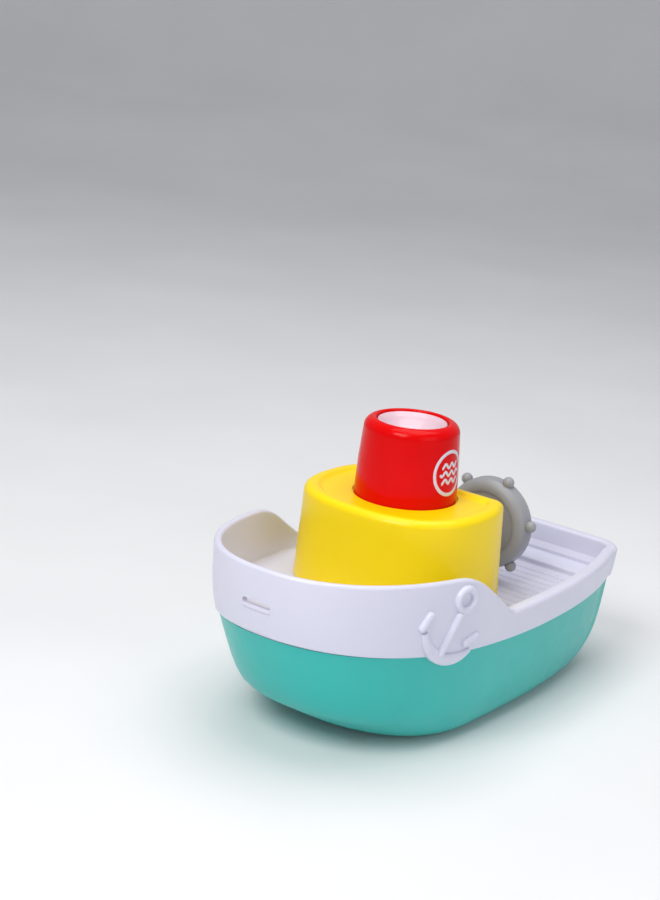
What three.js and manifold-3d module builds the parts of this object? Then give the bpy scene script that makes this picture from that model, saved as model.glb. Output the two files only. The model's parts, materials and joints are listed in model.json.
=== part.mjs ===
// Battery bath toy: a tugboat that sprays water from its funnel when it floats.
// Units are millimetres. +X points to the bow, +Y to port, +Z up; the hull stands on z = 0.
import * as THREE from 'three';
import { mergeVertices } from 'three/addons/utils/BufferGeometryUtils.js';
import Module from 'manifold-3d';

const wasm = await Module();
wasm.setup();

// ---- Driving dimensions ----
const GAP = 0.3; // clearance between neighbouring pieces
const BEAM_X = 16; // station of the greatest beam, where the funnel stands
const PLAN_POWER = 2.36; // fullness of the bow in plan
const BOW_SEGMENTS = 14; // steps along each side of the bow
const SIDE_SEGMENTS = 6; // steps along each side, aft of the greatest beam
const CORNER_SEGMENTS = 3; // steps round each transom corner
const TRANSOM_SEGMENTS = 4; // steps across the transom

const SEAM_AFT_Z = 43; // joint of the two hull halves, aft
const SEAM_BOW_RISE = 11.3; // how much that joint rises towards the bow
const SEAM_RISE_START_X = -20;
const BOW_X = 115;
const STERN_X = -115;
const HULL_WALL = 2.4;

const LOW_RAIL_Z = 56.8; // rail round the aft deck
const HIGH_RAIL_Z = 80; // bulwark at its aft end
const HIGH_RAIL_BOW_Z = 84; // bulwark at the stem
const NOTCH_TOP_X = 41; // where the bulwark starts to slope down
const NOTCH_FOOT_X = 9; // where the slope meets the low rail
const AFT_DECK_Z = 40.5;
const FORE_DECK_Z = 56;
const DECK_PLATE = 2.5;
const BENCH_X = -92; // front edge of the raised stern bench
const BENCH_Z = 43.5;

const FUNNEL_X = 16;
const ROOF_Z = 96;
const FUNNEL_BASE_R = 22.6;
const FUNNEL_TOP_R = 20.8;
const FUNNEL_TOP_Z = 130;
const FUNNEL_MOUTH_R = 15.8;
const DISH_DROP = 4.6; // how far the flange of the nozzle dish sits below the funnel's top
const DISH_RIM_R = 15.2;

const CABIN_FRONT_X = 55.5;
const CABIN_AFT_X = -9; // the flat aft wall, which cuts the oval plan short
const CABIN_OVAL_AFT = 35; // how far aft of the funnel the oval would run
const CABIN_HALF = 42.3;
const CABIN_POWER = 2.5; // fullness of the oval
const CABIN_CORNER = 4;
const CABIN_FRONT_STEPS = 16;
const CABIN_SIDE_STEPS = 4;
const CABIN_CORNER_STEPS = 4;
const CABIN_DRAFT = 2.2; // how much wider the cabin is at deck level
const CABIN_WALL = 2.2;

const WHEEL_X = -56;
const WHEEL_Z = 67.9;
const WHEEL_R = 21.7;
const WHEEL_THICK = 10;
const KNOB_CIRCLE_R = 23;
const KNOB_R = 2.7;
const KNOB_COUNT = 6;
const KNOB_START_DEG = 9.3; // turn of the first knob from +Y towards +Z
const WHEEL_SHAFT_R = 2;
const SHAFT_BORE_R = WHEEL_SHAFT_R + GAP; // bore of the wheel, its washer and its clip

const BATTERY_R = 7;
const BATTERY_LENGTH = 49;
const BATTERY_PITCH = 15.3;
const BATTERY_Z = 12.6;
const BATTERY_COUNT = 3;
const BOX_X = [-57, -8]; // battery box, outside
const BOX_HALF_Y = 29;
const BOX_WALL = 1.6;
const BOX_TOP_Z = 24;
const DOOR_SCREW_X = -4;

const MOTOR_R = 12;
const MOTOR_Z = [17, 42];
const SHAFT_R = 1;

// ---- Finishes ----
const finish = (color, roughness, metalness) => new THREE.MeshStandardMaterial({ color, roughness, metalness });
const plastic = (color, roughness = 0.3) => finish(color, roughness, 0);
const metal = (color, roughness = 0.35) => finish(color, roughness, 1);
const TEAL = 0x4eb8b0;
const WHITE = 0xe9e7f5;
const YELLOW = 0xf7d723;
const RED = 0xde000a;
const GREY = 0x9aa0a2;
const PALE_PINK = 0xe3ccd4;
const BLACK = 0x2b2b2d;
const STEEL = 0xb9bcc0;
const BRASS = 0xc9a45a;
const RUBBER = 0x4a4d50;
const DARK_GREY = 0x3c3f45;
const MAGNET_GREY = 0x35363a;
const NATURAL = 0xe6e6e0;
const MILKY = 0xdfe6e8;
const BOARD_GREEN = 0x2f6b3c;
const COPPER = 0x8c6a4a;

// ---- Solid helpers ----
function solid(geometry) {
  const plain = geometry.clone();
  plain.deleteAttribute('normal');
  plain.deleteAttribute('uv');
  const merged = mergeVertices(plain, 1e-4);
  return new wasm.Manifold(new wasm.Mesh({
    numProp: 3,
    vertProperties: new Float32Array(merged.attributes.position.array),
    triVerts: new Uint32Array(merged.index.array),
  }));
}

function geometryOf(manifold) {
  const mesh = manifold.getMesh();
  const geometry = new THREE.BufferGeometry();
  const points = new Float32Array(mesh.vertProperties);
  geometry.setAttribute('position', new THREE.BufferAttribute(points, mesh.numProp));
  geometry.setIndex(new THREE.BufferAttribute(new Uint32Array(mesh.triVerts), 1));
  return geometry;
}

function block(x, y, z) {
  const shape = new THREE.BoxGeometry(x[1] - x[0], y[1] - y[0], z[1] - z[0]);
  shape.translate((x[0] + x[1]) / 2, (y[0] + y[1]) / 2, (z[0] + z[1]) / 2);
  return solid(shape);
}

// Upright solid of revolution at (x, y); the profile lists [radius, z] and starts and ends on the axis
// or closes on itself.
function turned(profile, x = 0, y = 0, segments = 28) {
  const shape = new THREE.LatheGeometry(profile.map(([r, z]) => new THREE.Vector2(r, z)), segments);
  shape.rotateX(Math.PI / 2);
  shape.translate(x, y, 0);
  return solid(shape);
}

const rod = (r, z0, z1, x = 0, y = 0, segments = 20) =>
  turned([[0, z0], [r, z0], [r, z1], [0, z1]], x, y, segments);

function ring(inner, outer, z0, z1, x = 0, y = 0, segments = 28) {
  return turned([[inner, z0], [outer, z0], [outer, z1], [inner, z1], [inner, z0]], x, y, segments);
}

// The same two, lying along X, with their axis through (y, z).
function turnedAlongX(profile, y, z, segments = 24) {
  const shape = new THREE.LatheGeometry(profile.map(([r, x]) => new THREE.Vector2(r, x)), segments);
  shape.rotateZ(-Math.PI / 2);
  shape.translate(0, y, z);
  return solid(shape);
}

const rodAlongX = (r, x0, x1, y, z, segments = 20) =>
  turnedAlongX([[0, x0], [r, x0], [r, x1], [0, x1]], y, z, segments);

const ringAlongX = (inner, outer, x0, x1, y, z, segments = 24) =>
  turnedAlongX([[inner, x0], [outer, x0], [outer, x1], [inner, x1], [inner, x0]], y, z, segments);

// A prism along Y of an outline given as [x, z] points.
function sideProfile(points, y0, y1) {
  const outline = new THREE.Shape(points.map(([x, z]) => new THREE.Vector2(x, z)));
  const shape = new THREE.ExtrudeGeometry(outline, { depth: y1 - y0, bevelEnabled: false });
  shape.rotateX(Math.PI / 2);
  shape.translate(0, y1, 0);
  return solid(shape);
}

// A closed body through stacked closed loops of points. All loops have the same number of points and
// mirror about the middle plane, so each end is closed by strips that run straight across.
function loft(loops) {
  const count = loops[0].length;
  const positions = [];
  const triangles = [];
  for (const loop of loops) {
    for (const point of loop) {
      positions.push(point.x, point.y, point.z);
    }
  }
  for (let level = 0; level + 1 < loops.length; level += 1) {
    for (let i = 0; i < count; i += 1) {
      const a = level * count + i;
      const b = level * count + ((i + 1) % count);
      triangles.push(a, b, b + count, a, b + count, a + count);
    }
  }
  const top = (loops.length - 1) * count;
  for (let i = 0; i < count / 2; i += 1) {
    const portAft = i + 1;
    const starboardAft = count - i - 1;
    const starboard = (count - i) % count;
    if (portAft !== starboardAft) {
      triangles.push(i, starboardAft, portAft, top + i, top + portAft, top + starboardAft);
    }
    if (starboard !== i) {
      triangles.push(i, starboard, starboardAft, top + i, top + starboardAft, top + starboard);
    }
  }
  const shape = new THREE.BufferGeometry();
  shape.setAttribute('position', new THREE.Float32BufferAttribute(positions, 3));
  shape.setIndex(triangles);
  return solid(shape);
}

// A tube along a smooth curve through the points.
function tube(points, outer, inner, steps, sides = 8) {
  const section = new THREE.Shape();
  const hole = new THREE.Path();
  for (let i = 0; i < sides; i += 1) {
    const angle = (i / sides) * 2 * Math.PI;
    section[i ? 'lineTo' : 'moveTo'](outer * Math.cos(angle), outer * Math.sin(angle));
    hole[i ? 'lineTo' : 'moveTo'](inner * Math.cos(angle), inner * Math.sin(angle));
  }
  if (inner > 0) {
    section.holes.push(hole);
  }
  const knots = points.map((point) => new THREE.Vector3(...point));
  const path = new THREE.CatmullRomCurve3(knots, false, 'centripetal');
  return solid(new THREE.ExtrudeGeometry(section, { steps, bevelEnabled: false, extrudePath: path }));
}

const joined = (first, ...rest) => rest.reduce((sum, piece) => sum.add(piece), first);
const cut = (first, ...rest) => rest.reduce((left, piece) => left.subtract(piece), first);

// ---- Hull lines ----
// The plan of the boat: a full round bow, sides that draw in aft and a flat transom with round corners.
function plan({ bow, beam, stern, sternHalf, corner }, zOf) {
  const length = BEAM_X - stern;
  const sideY = (x) => beam - (beam - sternHalf) * ((BEAM_X - x) / length) ** 3;
  const cornerX = stern + corner;
  const half = []; // port side, from the stem to the middle of the transom
  for (let i = 0; i <= BOW_SEGMENTS; i += 1) {
    const angle = (i / BOW_SEGMENTS) * (Math.PI / 2);
    const x = BEAM_X + (bow - BEAM_X) * Math.cos(angle) ** (2 / PLAN_POWER);
    half.push([x, beam * Math.sin(angle) ** (2 / PLAN_POWER)]);
  }
  for (let i = 1; i <= SIDE_SEGMENTS; i += 1) {
    const x = BEAM_X + ((cornerX - BEAM_X) * i) / SIDE_SEGMENTS;
    half.push([x, sideY(x)]);
  }
  const cornerY = sideY(cornerX) - corner;
  for (let i = 1; i <= CORNER_SEGMENTS; i += 1) {
    const angle = (i / CORNER_SEGMENTS) * (Math.PI / 2);
    half.push([cornerX - corner * Math.sin(angle), cornerY + corner * Math.cos(angle)]);
  }
  for (let i = 1; i < TRANSOM_SEGMENTS / 2 + 1; i += 1) {
    half.push([stern, cornerY * (1 - (2 * i) / TRANSOM_SEGMENTS)]);
  }
  const port = half.map(([x, y]) => new THREE.Vector3(x, y, zOf(x)));
  const starboard = half.slice(1, -1).reverse().map(([x, y]) => new THREE.Vector3(x, -y, zOf(x)));
  return [...port, ...starboard];
}

const inset = (lines, amount) => ({
  bow: lines.bow - amount,
  beam: lines.beam - amount,
  stern: lines.stern + amount,
  sternHalf: lines.sternHalf - amount,
  corner: Math.max(lines.corner - amount, 2),
});

// Height of the joint between the hull halves, which sweeps up to the bow.
function seamZ(x) {
  const along = Math.max(0, (x - SEAM_RISE_START_X) / (BOW_X - SEAM_RISE_START_X));
  return SEAM_AFT_Z + SEAM_BOW_RISE * along ** 1.7;
}

const level = (z) => () => z;
const besideSeam = (offset) => (x) => seamZ(x) + offset;

// Outer lines of the lower hull from its flat bottom up to the joint.
const HULL_SEAM = { bow: 110.3, beam: 55.5, stern: -112.3, sternHalf: 36.6, corner: 13 };
const HULL_LINES = [
  [0, { bow: 48, beam: 38, stern: -68, sternHalf: 34, corner: 18 }],
  [1.5, { bow: 57, beam: 43.5, stern: -77, sternHalf: 37, corner: 18 }],
  [5, { bow: 67, beam: 48, stern: -87, sternHalf: 38.8, corner: 18 }],
  [12, { bow: 80, beam: 51, stern: -98, sternHalf: 38.8, corner: 17 }],
  [22, { bow: 94, beam: 53.3, stern: -106, sternHalf: 37.8, corner: 15 }],
];
const BAND_SEAM = { bow: 111.5, beam: 56.7, stern: -113.5, sternHalf: 37.8, corner: 14 };
const BAND_LIP = { bow: 112.9, beam: 58.4, stern: STERN_X, sternHalf: 39.3, corner: 14 };
const BAND_TOP = { bow: BOW_X, beam: 58.6, stern: STERN_X, sternHalf: 39.5, corner: 14 };
const TOP_Z = HIGH_RAIL_BOW_Z + 1;

function band(amount, lowOffset) {
  return loft([
    plan(inset(BAND_SEAM, amount), besideSeam(lowOffset)),
    plan(inset(BAND_LIP, amount), level(LOW_RAIL_Z)),
    plan(inset(BAND_TOP, amount), level(TOP_Z)),
  ]);
}

function hullBody(amount, floor, seamOffset) {
  const loops = HULL_LINES.map(([z, lines]) => plan(inset(lines, amount), level(Math.max(z + floor, 0))));
  return loft([...loops, plan(inset(HULL_SEAM, amount), besideSeam(seamOffset))]);
}

// ---- Screws that hold the hull halves ----
const HULL_SCREWS = [[-80, 21], [-80, -21], [64, 21], [64, -21]];
const BOSS_SPLIT_Z = 20;
const SCREW_R = 1.4;
const PILOT_R = 1.7;

// A screw driven upwards: headZ is the seat under its head, tipZ the end of its shank.
function screw(x, y, headZ, tipZ, headR = 2.9, headHeight = 2.2) {
  const foot = headZ - headHeight;
  const slot = block([x - headR, x + headR], [y - 0.4, y + 0.4], [foot - 1, foot + 0.5]);
  const body = turned([
    [0, foot], [headR, foot], [headR, headZ],
    [SCREW_R, headZ], [SCREW_R, tipZ - 1.5], [0.3, tipZ], [0, tipZ],
  ], x, y, 12);
  return cut(body, slot);
}

// ---- Hull ----
const INTAKE_R = 9;
const CONTACTS = [[38, 8], [38, -8]];
const DOOR_EAR_R = 4.5;

// Outline of the battery door, grown by an amount: a plate with a screw ear at its front edge.
function doorPlate(grow, z) {
  const edge = 1 + grow;
  const halfY = BOX_HALF_Y + edge;
  const plate = block([BOX_X[0] - edge, BOX_X[1] + edge], [-halfY, halfY], z);
  return plate.add(rod(DOOR_EAR_R + grow, z[0], z[1], DOOR_SCREW_X, 0));
}

function hullShell() {
  const outside = hullBody(0, 0, -1);
  const inside = hullBody(HULL_WALL, HULL_WALL, 1);
  const bosses = HULL_SCREWS.map(([x, y]) => rod(4.4, 4, BOSS_SPLIT_Z, x, y).intersect(outside));
  const shell = joined(cut(outside, inside), ...bosses);
  const counterbores = HULL_SCREWS.map(([x, y]) => rod(3.4, -1, 14, x, y));
  const screwHoles = HULL_SCREWS.map(([x, y]) => rod(1.8, 13, BOSS_SPLIT_Z + 1, x, y));
  const intake = rod(INTAKE_R, -1, 4, FUNNEL_X, 0, 24);
  const contactHoles = CONTACTS.map(([x, y]) => rod(2.5, -1, 4, x, y, 12));
  return cut(shell, ...counterbores, ...screwHoles, doorPlate(0, [-1, 4]), intake, ...contactHoles);
}

// Flat gasket that lies on the top edge of the hull.
function hullSeal() {
  const strip = (amount, low, high) => loft([
    plan(inset(HULL_SEAM, amount), besideSeam(low)),
    plan(inset(HULL_SEAM, amount), besideSeam(high)),
  ]);
  return cut(strip(0.5, -0.8, 0), strip(2.2, -2, 2));
}

// ---- Deck, bulwark and rail ----
const OPENING = { x: [1, 51], y: [-16, 16] }; // way down from the cabin into the hull
const CABIN_SCREWS = [[-6, 31], [-6, -31], [43, 29.2], [43, -29.2]];
const PEDESTAL = { x: [-48, -39], halfY: 9 };
const PEDESTAL_SCREWS = [[-43.5, 5.2], [-43.5, -5.2]];
const SLOT = { halfY: 7.3, z: [67.2, 69.8] }; // mooring slot through the bow
const FORE_RAIL_WALL = 3.4;
const AFT_RAIL_WALL = 6;
const AFT_WALL_FOOT = 2.2; // how much thicker that wall is where it meets the deck
const AFT_FOOT_Z = [45, 47.5]; // where it thins
const SPIGOT_WALL = 1.8;
const SPIGOT_DROP = 5.5;
const SPIGOT_TOP = inset(HULL_SEAM, 2.8);
const SPIGOT_FOOT = {
  bow: SPIGOT_TOP.bow - 4,
  beam: SPIGOT_TOP.beam - 0.9,
  stern: SPIGOT_TOP.stern + 2.3,
  sternHalf: SPIGOT_TOP.sternHalf - 0.9,
  corner: SPIGOT_TOP.corner,
};

// Everything above the sheer line, as a cutter: bow rail, rounded shoulder, slope, low rail.
function aboveRail() {
  return sideProfile([
    [BOW_X + 5, HIGH_RAIL_BOW_Z + 0.2],
    [NOTCH_TOP_X + 6, HIGH_RAIL_Z + 0.4],
    [NOTCH_TOP_X, HIGH_RAIL_Z - 0.6],
    [NOTCH_TOP_X - 4.5, HIGH_RAIL_Z - 3.8],
    [NOTCH_FOOT_X + 4, LOW_RAIL_Z + 2.6],
    [NOTCH_FOOT_X - 2, LOW_RAIL_Z + 0.3],
    [NOTCH_FOOT_X - 9, LOW_RAIL_Z],
    [STERN_X - 5, LOW_RAIL_Z],
    [STERN_X - 5, TOP_Z + 5],
    [BOW_X + 5, TOP_Z + 5],
  ], -70, 70);
}

// Plain anchor in relief, drawn upright with the middle of its ring at the origin and then leaned aft.
const ANCHOR = {
  x: 46.9,
  z: 71.1,
  leanDeg: 25,
  ringR: 7,
  holeR: 2.8,
  shankEnd: -24,
  armCentre: -11.5,
  armR: [13.5, 17.5],
  armSweep: 1.12,
};
const FLUKE = { x: 15.9, y: -14.1, width: 3.2, length: 9.2, turnDeg: 26 };
const RELIEF_DEPTH = 1.9;

function anchorProfile() {
  const { ringR, holeR, shankEnd, armCentre, armR, armSweep } = ANCHOR;
  const depth = 30;
  const bar = (width, length) => new THREE.BoxGeometry(width, length, depth);
  const disc = (r) => solid(new THREE.CylinderGeometry(r, r, depth, 20).rotateX(Math.PI / 2));
  const down = -Math.PI / 2;
  const arms = new THREE.Shape();
  arms.absarc(0, armCentre, armR[1], down - armSweep, down + armSweep, false);
  arms.absarc(0, armCentre, armR[0], down + armSweep, down - armSweep, true);
  const crescent = new THREE.ExtrudeGeometry(arms, { depth, bevelEnabled: false, curveSegments: 10 });
  const shankTop = 0.5 - ringR;
  const shank = bar(3.2, shankTop - shankEnd).translate(0, (shankTop + shankEnd) / 2, 0);
  const flukes = [1, -1].map((side) => bar(FLUKE.width, FLUKE.length)
    .rotateZ(-side * THREE.MathUtils.degToRad(FLUKE.turnDeg))
    .translate(side * FLUKE.x, FLUKE.y, 0));
  const ringPiece = cut(disc(ringR), disc(holeR));
  return joined(ringPiece, solid(crescent.translate(0, 0, -depth / 2)), solid(shank), ...flukes.map(solid));
}

function anchorRelief(side) {
  const { x, z, leanDeg } = ANCHOR;
  const place = new THREE.Matrix4().makeRotationX(Math.PI / 2)
    .premultiply(new THREE.Matrix4().makeRotationY(-THREE.MathUtils.degToRad(leanDeg)));
  const turnedUp = geometryOf(anchorProfile()).applyMatrix4(place);
  turnedUp.translate(x, side * 53, z);
  const skin = cut(band(-RELIEF_DEPTH, -8), band(0.8, -12));
  return solid(turnedUp).intersect(skin);
}

function deckShell() {
  const outside = band(0, 0.2);
  const spigot = loft([plan(SPIGOT_FOOT, besideSeam(-SPIGOT_DROP)), plan(SPIGOT_TOP, besideSeam(2))]);
  const under = inset(SPIGOT_FOOT, SPIGOT_WALL);
  const underAft = loft([plan(under, level(20)), plan(under, level(AFT_DECK_Z - DECK_PLATE))]);
  const underFore = loft([plan(under, level(20)), plan(under, level(FORE_DECK_Z - DECK_PLATE))])
    .intersect(block([NOTCH_FOOT_X + DECK_PLATE, 200], [-80, 80], [0, 100]));
  const foreWell = loft([
    plan(inset(BAND_LIP, FORE_RAIL_WALL), level(FORE_DECK_Z)),
    plan(inset(BAND_TOP, FORE_RAIL_WALL), level(TOP_Z + 1)),
  ]).intersect(block([NOTCH_FOOT_X, 200], [-80, 80], [0, 200]));
  const wallLines = inset(BAND_LIP, AFT_RAIL_WALL);
  const footLines = inset(wallLines, AFT_WALL_FOOT);
  const bench = block([STERN_X, BENCH_X], [-60, 60], [0, BENCH_Z]);
  const aftWell = loft([
    plan(footLines, level(AFT_DECK_Z)),
    plan(footLines, level(AFT_FOOT_Z[0])),
    plan(wallLines, level(AFT_FOOT_Z[1])),
    plan(wallLines, level(TOP_Z + 1)),
  ]).intersect(block([STERN_X, NOTCH_FOOT_X + 0.01], [-80, 80], [0, 200])).subtract(bench);
  const bossTop = (x) => (x > 0 ? FORE_DECK_Z : AFT_DECK_Z) - 1;
  const bosses = HULL_SCREWS.map(([x, y]) => rod(4.2, BOSS_SPLIT_Z + GAP, bossTop(x), x, y));
  const shell = cut(outside.add(spigot), underAft, underFore, foreWell, aftWell, aboveRail());
  const whole = joined(shell, ...bosses, anchorRelief(1), anchorRelief(-1));
  const pilotHoles = HULL_SCREWS.map(([x, y]) => rod(PILOT_R, BOSS_SPLIT_Z - 1, 32, x, y, 12));
  const cabinHoles = CABIN_SCREWS.map(([x, y]) => rod(PILOT_R, 30, 70, x, y, 12));
  const pedestalHoles = PEDESTAL_SCREWS.map(([x, y]) => rod(PILOT_R, 30, 50, x, y, 12));
  const hawse = block([105, 120], [-SLOT.halfY, SLOT.halfY], SLOT.z);
  const opening = block(OPENING.x, OPENING.y, [30, 70]);
  return cut(whole, ...pilotHoles, ...cabinHoles, ...pedestalHoles, opening, hawse);
}

// ---- Cabin ----
// An oval round the funnel, cut short by the flat aft wall, with rounded aft corners.
function cabinPlan(grow, z) {
  const half = CABIN_HALF + grow;
  const aft = CABIN_AFT_X - grow;
  const corner = Math.max(CABIN_CORNER + grow, 1.5);
  const sideY = (x) => {
    const reach = x > FUNNEL_X ? CABIN_FRONT_X - FUNNEL_X + grow : CABIN_OVAL_AFT + grow;
    return half * (1 - (Math.abs(x - FUNNEL_X) / reach) ** CABIN_POWER) ** (1 / CABIN_POWER);
  };
  const port = [];
  for (let i = 0; i <= CABIN_FRONT_STEPS; i += 1) {
    const angle = (i / CABIN_FRONT_STEPS) * (Math.PI / 2);
    const x = FUNNEL_X + (CABIN_FRONT_X - FUNNEL_X + grow) * Math.cos(angle) ** (2 / CABIN_POWER);
    port.push([x, half * Math.sin(angle) ** (2 / CABIN_POWER)]);
  }
  const cornerX = aft + corner;
  for (let i = 1; i < CABIN_SIDE_STEPS; i += 1) {
    const x = FUNNEL_X + ((cornerX - FUNNEL_X) * i) / CABIN_SIDE_STEPS;
    port.push([x, sideY(x)]);
  }
  const cornerY = sideY(cornerX) - corner;
  for (let i = 0; i <= CABIN_CORNER_STEPS; i += 1) {
    const angle = (i / CABIN_CORNER_STEPS) * (Math.PI / 2);
    port.push([cornerX - corner * Math.sin(angle), cornerY + corner * Math.cos(angle)]);
  }
  port.push([aft, 0]);
  const starboard = port.slice(1, -1).reverse().map(([x, y]) => [x, -y]);
  return [...port, ...starboard].map(([x, y]) => new THREE.Vector3(x, y, z));
}

const ROOF_RIM_Z = 97.4;
const FUNNEL_SCREWS = [[FUNNEL_X, 17.4], [FUNNEL_X, -17.4]];

function cabinShell() {
  const low = AFT_DECK_Z + GAP;
  const outside = loft([
    cabinPlan(CABIN_DRAFT, low), cabinPlan(0.2, ROOF_RIM_Z - 4), cabinPlan(-0.9, ROOF_RIM_Z - 1.3),
    cabinPlan(-3.6, ROOF_RIM_Z),
  ]);
  const inside = loft([
    cabinPlan(CABIN_DRAFT - CABIN_WALL, low - 5),
    cabinPlan(-CABIN_WALL, ROOF_Z - 5),
    cabinPlan(-5, ROOF_Z - 2.5),
  ]);
  const foreStep = block([NOTCH_FOOT_X - GAP, 100], [-60, 60], [0, FORE_DECK_Z + GAP]);
  const roofDish = loft([cabinPlan(-8.2, ROOF_Z), cabinPlan(-6.6, ROOF_RIM_Z + 1)]);
  const aftBosses = CABIN_SCREWS.slice(0, 2).map(([x, y]) => rod(4, low, 58, x, y));
  const foreBosses = CABIN_SCREWS.slice(2).map(([x, y]) => rod(4, FORE_DECK_Z + GAP, 72, x, y));
  const shell = joined(cut(outside, inside, foreStep), ...aftBosses, ...foreBosses);
  const holes = CABIN_SCREWS.map(([x, y]) => rod(PILOT_R, 30, x > 20 ? 68 : 54, x, y, 12));
  const socket = rod(FUNNEL_BASE_R + 0.9, ROOF_Z - 1, ROOF_Z + 5, FUNNEL_X, 0, 44);
  const riserHole = rod(9, ROOF_Z - 8, ROOF_Z + 5, FUNNEL_X, 0, 24);
  const screwHoles = FUNNEL_SCREWS.map(([x, y]) => rod(PILOT_R, ROOF_Z - 8, ROOF_Z + 5, x, y, 12));
  return cut(shell, ...holes, roofDish, socket, riserHole, ...screwHoles);
}

// ---- Funnel and spray nozzle ----
const FUNNEL_FOOT_Z = ROOF_Z - 1 + GAP;

function funnelShell() {
  const wall = 1.8;
  const top = FUNNEL_TOP_Z;
  const profile = [
    [FUNNEL_BASE_R - wall, FUNNEL_FOOT_Z],
    [FUNNEL_BASE_R, FUNNEL_FOOT_Z],
    [FUNNEL_TOP_R + 0.2, top - 6],
    [FUNNEL_TOP_R - 0.6, top - 3],
    [FUNNEL_TOP_R - 2.4, top - 0.8],
    [FUNNEL_TOP_R - 4.4, top],
    [FUNNEL_MOUTH_R, top - 0.6],
    [FUNNEL_MOUTH_R - 0.3, top - 3.6],
    [FUNNEL_TOP_R - 2.4, top - 4.2],
    [FUNNEL_TOP_R - 1.8, top - 7],
    [FUNNEL_BASE_R - wall, FUNNEL_FOOT_Z],
  ];
  const shell = turned(profile, FUNNEL_X, 0, 44);
  const boss = FUNNEL_SCREWS.map(([x, y]) => rod(3.4, FUNNEL_FOOT_Z, FUNNEL_FOOT_Z + 12, x, y)
    .intersect(rod(FUNNEL_BASE_R - 1, 0, 200, FUNNEL_X, 0, 44)));
  const holes = FUNNEL_SCREWS.map(([x, y]) => rod(PILOT_R, 90, FUNNEL_FOOT_Z + 9, x, y, 12));
  return cut(joined(shell, ...boss), ...holes);
}

// The dish is a cone that lines the funnel's mouth, with a flange held under the funnel's lip.
function nozzleDish() {
  const top = FUNNEL_TOP_Z - DISH_DROP;
  const rim = FUNNEL_TOP_Z - 0.8;
  return turned([
    [1.2, top - 11], [4.6, top - 11], [4.6, top - 6.6], [13.6, top - 1.9], [18, top - 1.9], [18, top - 0.2],
    [DISH_RIM_R, top - 0.2], [DISH_RIM_R, rim - 0.3], [DISH_RIM_R - 0.5, rim], [DISH_RIM_R - 1.3, rim - 0.7],
    [5.4, top - 4.4], [3.2, top - 3.2], [1.2, top - 3.2], [1.2, top - 11],
  ], FUNNEL_X, 0, 36);
}

// ---- Pump and motor ----
const PUMP = { r: 15, z: [2.7, 13], wall: 2.2, outletZ: 8.6 };
const IMPELLER_VANES = 5;

function pumpHousing() {
  const { r, z, wall, outletZ } = PUMP;
  const can = rod(r, z[0], z[1], FUNNEL_X, 0, 32);
  const stub = rodAlongX(4.4, FUNNEL_X + 10, FUNNEL_X + 21, 0, outletZ, 16);
  const chamber = rod(r - wall, z[0] + 1.6, z[1] - 1.6, FUNNEL_X, 0, 32);
  const inlet = rod(6.5, 0, z[0] + 4, FUNNEL_X, 0, 20);
  const shaftHole = rod(1.6, 8, 20, FUNNEL_X, 0, 12);
  const bore = rodAlongX(2.6, FUNNEL_X + 8, FUNNEL_X + 25, 0, outletZ, 12);
  return cut(can.add(stub), chamber, inlet, shaftHole, bore);
}

function impeller() {
  const disc = ring(SHAFT_R + 0.2, 11.5, 9.4, 10.4, FUNNEL_X, 0, 24);
  const hub = ring(SHAFT_R + 0.2, 3, 5.6, 10.4, FUNNEL_X, 0, 16);
  const vanes = [];
  for (let i = 0; i < IMPELLER_VANES; i += 1) {
    const vane = new THREE.BoxGeometry(8.8, 1, 3.4).translate(6.8, 1.6, 7.9);
    vane.rotateZ((i / IMPELLER_VANES) * 2 * Math.PI).translate(FUNNEL_X, 0, 0);
    vanes.push(solid(vane));
  }
  return joined(disc, hub, ...vanes);
}

function intakeGrille() {
  const disc = rod(INTAKE_R - GAP, 0.4, 2.3, FUNNEL_X, 0, 24);
  const slots = [];
  for (let i = -2; i <= 2; i += 1) {
    const reach = Math.sqrt((INTAKE_R - 2) ** 2 - (i * 3) ** 2);
    slots.push(block([FUNNEL_X + i * 3 - 0.8, FUNNEL_X + i * 3 + 0.8], [-reach, reach], [-1, 5]));
  }
  return cut(disc, ...slots);
}

const motorShaft = () => rod(SHAFT_R, 5.8, 46.5, FUNNEL_X, 0, 12);
const shaftSeal = () => ring(SHAFT_R + 0.25, 3.6, 13.6, 16, FUNNEL_X, 0, 16);

function motorBracket() {
  const plate = ring(4, 15, PUMP.z[1] + GAP, 16.4, FUNNEL_X, 0, 32);
  const collar = ring(MOTOR_R + GAP, MOTOR_R + 2, 16, 26, FUNNEL_X, 0, 32);
  return plate.add(collar);
}

function motorCan() {
  const [low, high] = MOTOR_Z;
  const can = rod(MOTOR_R, low, high - 2.5, FUNNEL_X, 0, 32);
  const bore = rod(MOTOR_R - 0.9, low + 1, high, FUNNEL_X, 0, 32);
  const shaftHole = rod(1.6, low - 1, high, FUNNEL_X, 0, 12);
  return cut(can, bore, shaftHole);
}

function motorEndCap() {
  const high = MOTOR_Z[1];
  const cap = ring(1.6, MOTOR_R, high - 2.2, high, FUNNEL_X, 0, 32);
  return cap.add(ring(1.6, 3.2, high - 0.5, high + 2, FUNNEL_X, 0, 16));
}

function motorArmature() {
  const core = ring(SHAFT_R + 0.2, 7.4, 22, 35, FUNNEL_X, 0, 24);
  const commutator = ring(SHAFT_R + 0.2, 3, 35, 38.5, FUNNEL_X, 0, 16);
  const slots = [0, 1, 2].map((i) => solid(new THREE.BoxGeometry(3, 2.4, 20).translate(7, 0, 28)
    .rotateZ((i / 3) * 2 * Math.PI).translate(FUNNEL_X, 0, 0)));
  return cut(core.add(commutator), ...slots);
}

function motorMagnet(side) {
  const tubeWall = ring(8.4, MOTOR_R - 1.3, 20, 37, FUNNEL_X, 0, 32);
  const y = side > 0 ? [4, 20] : [-20, -4];
  return tubeWall.intersect(block([FUNNEL_X - 20, FUNNEL_X + 20], y, [0, 60]));
}

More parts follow.
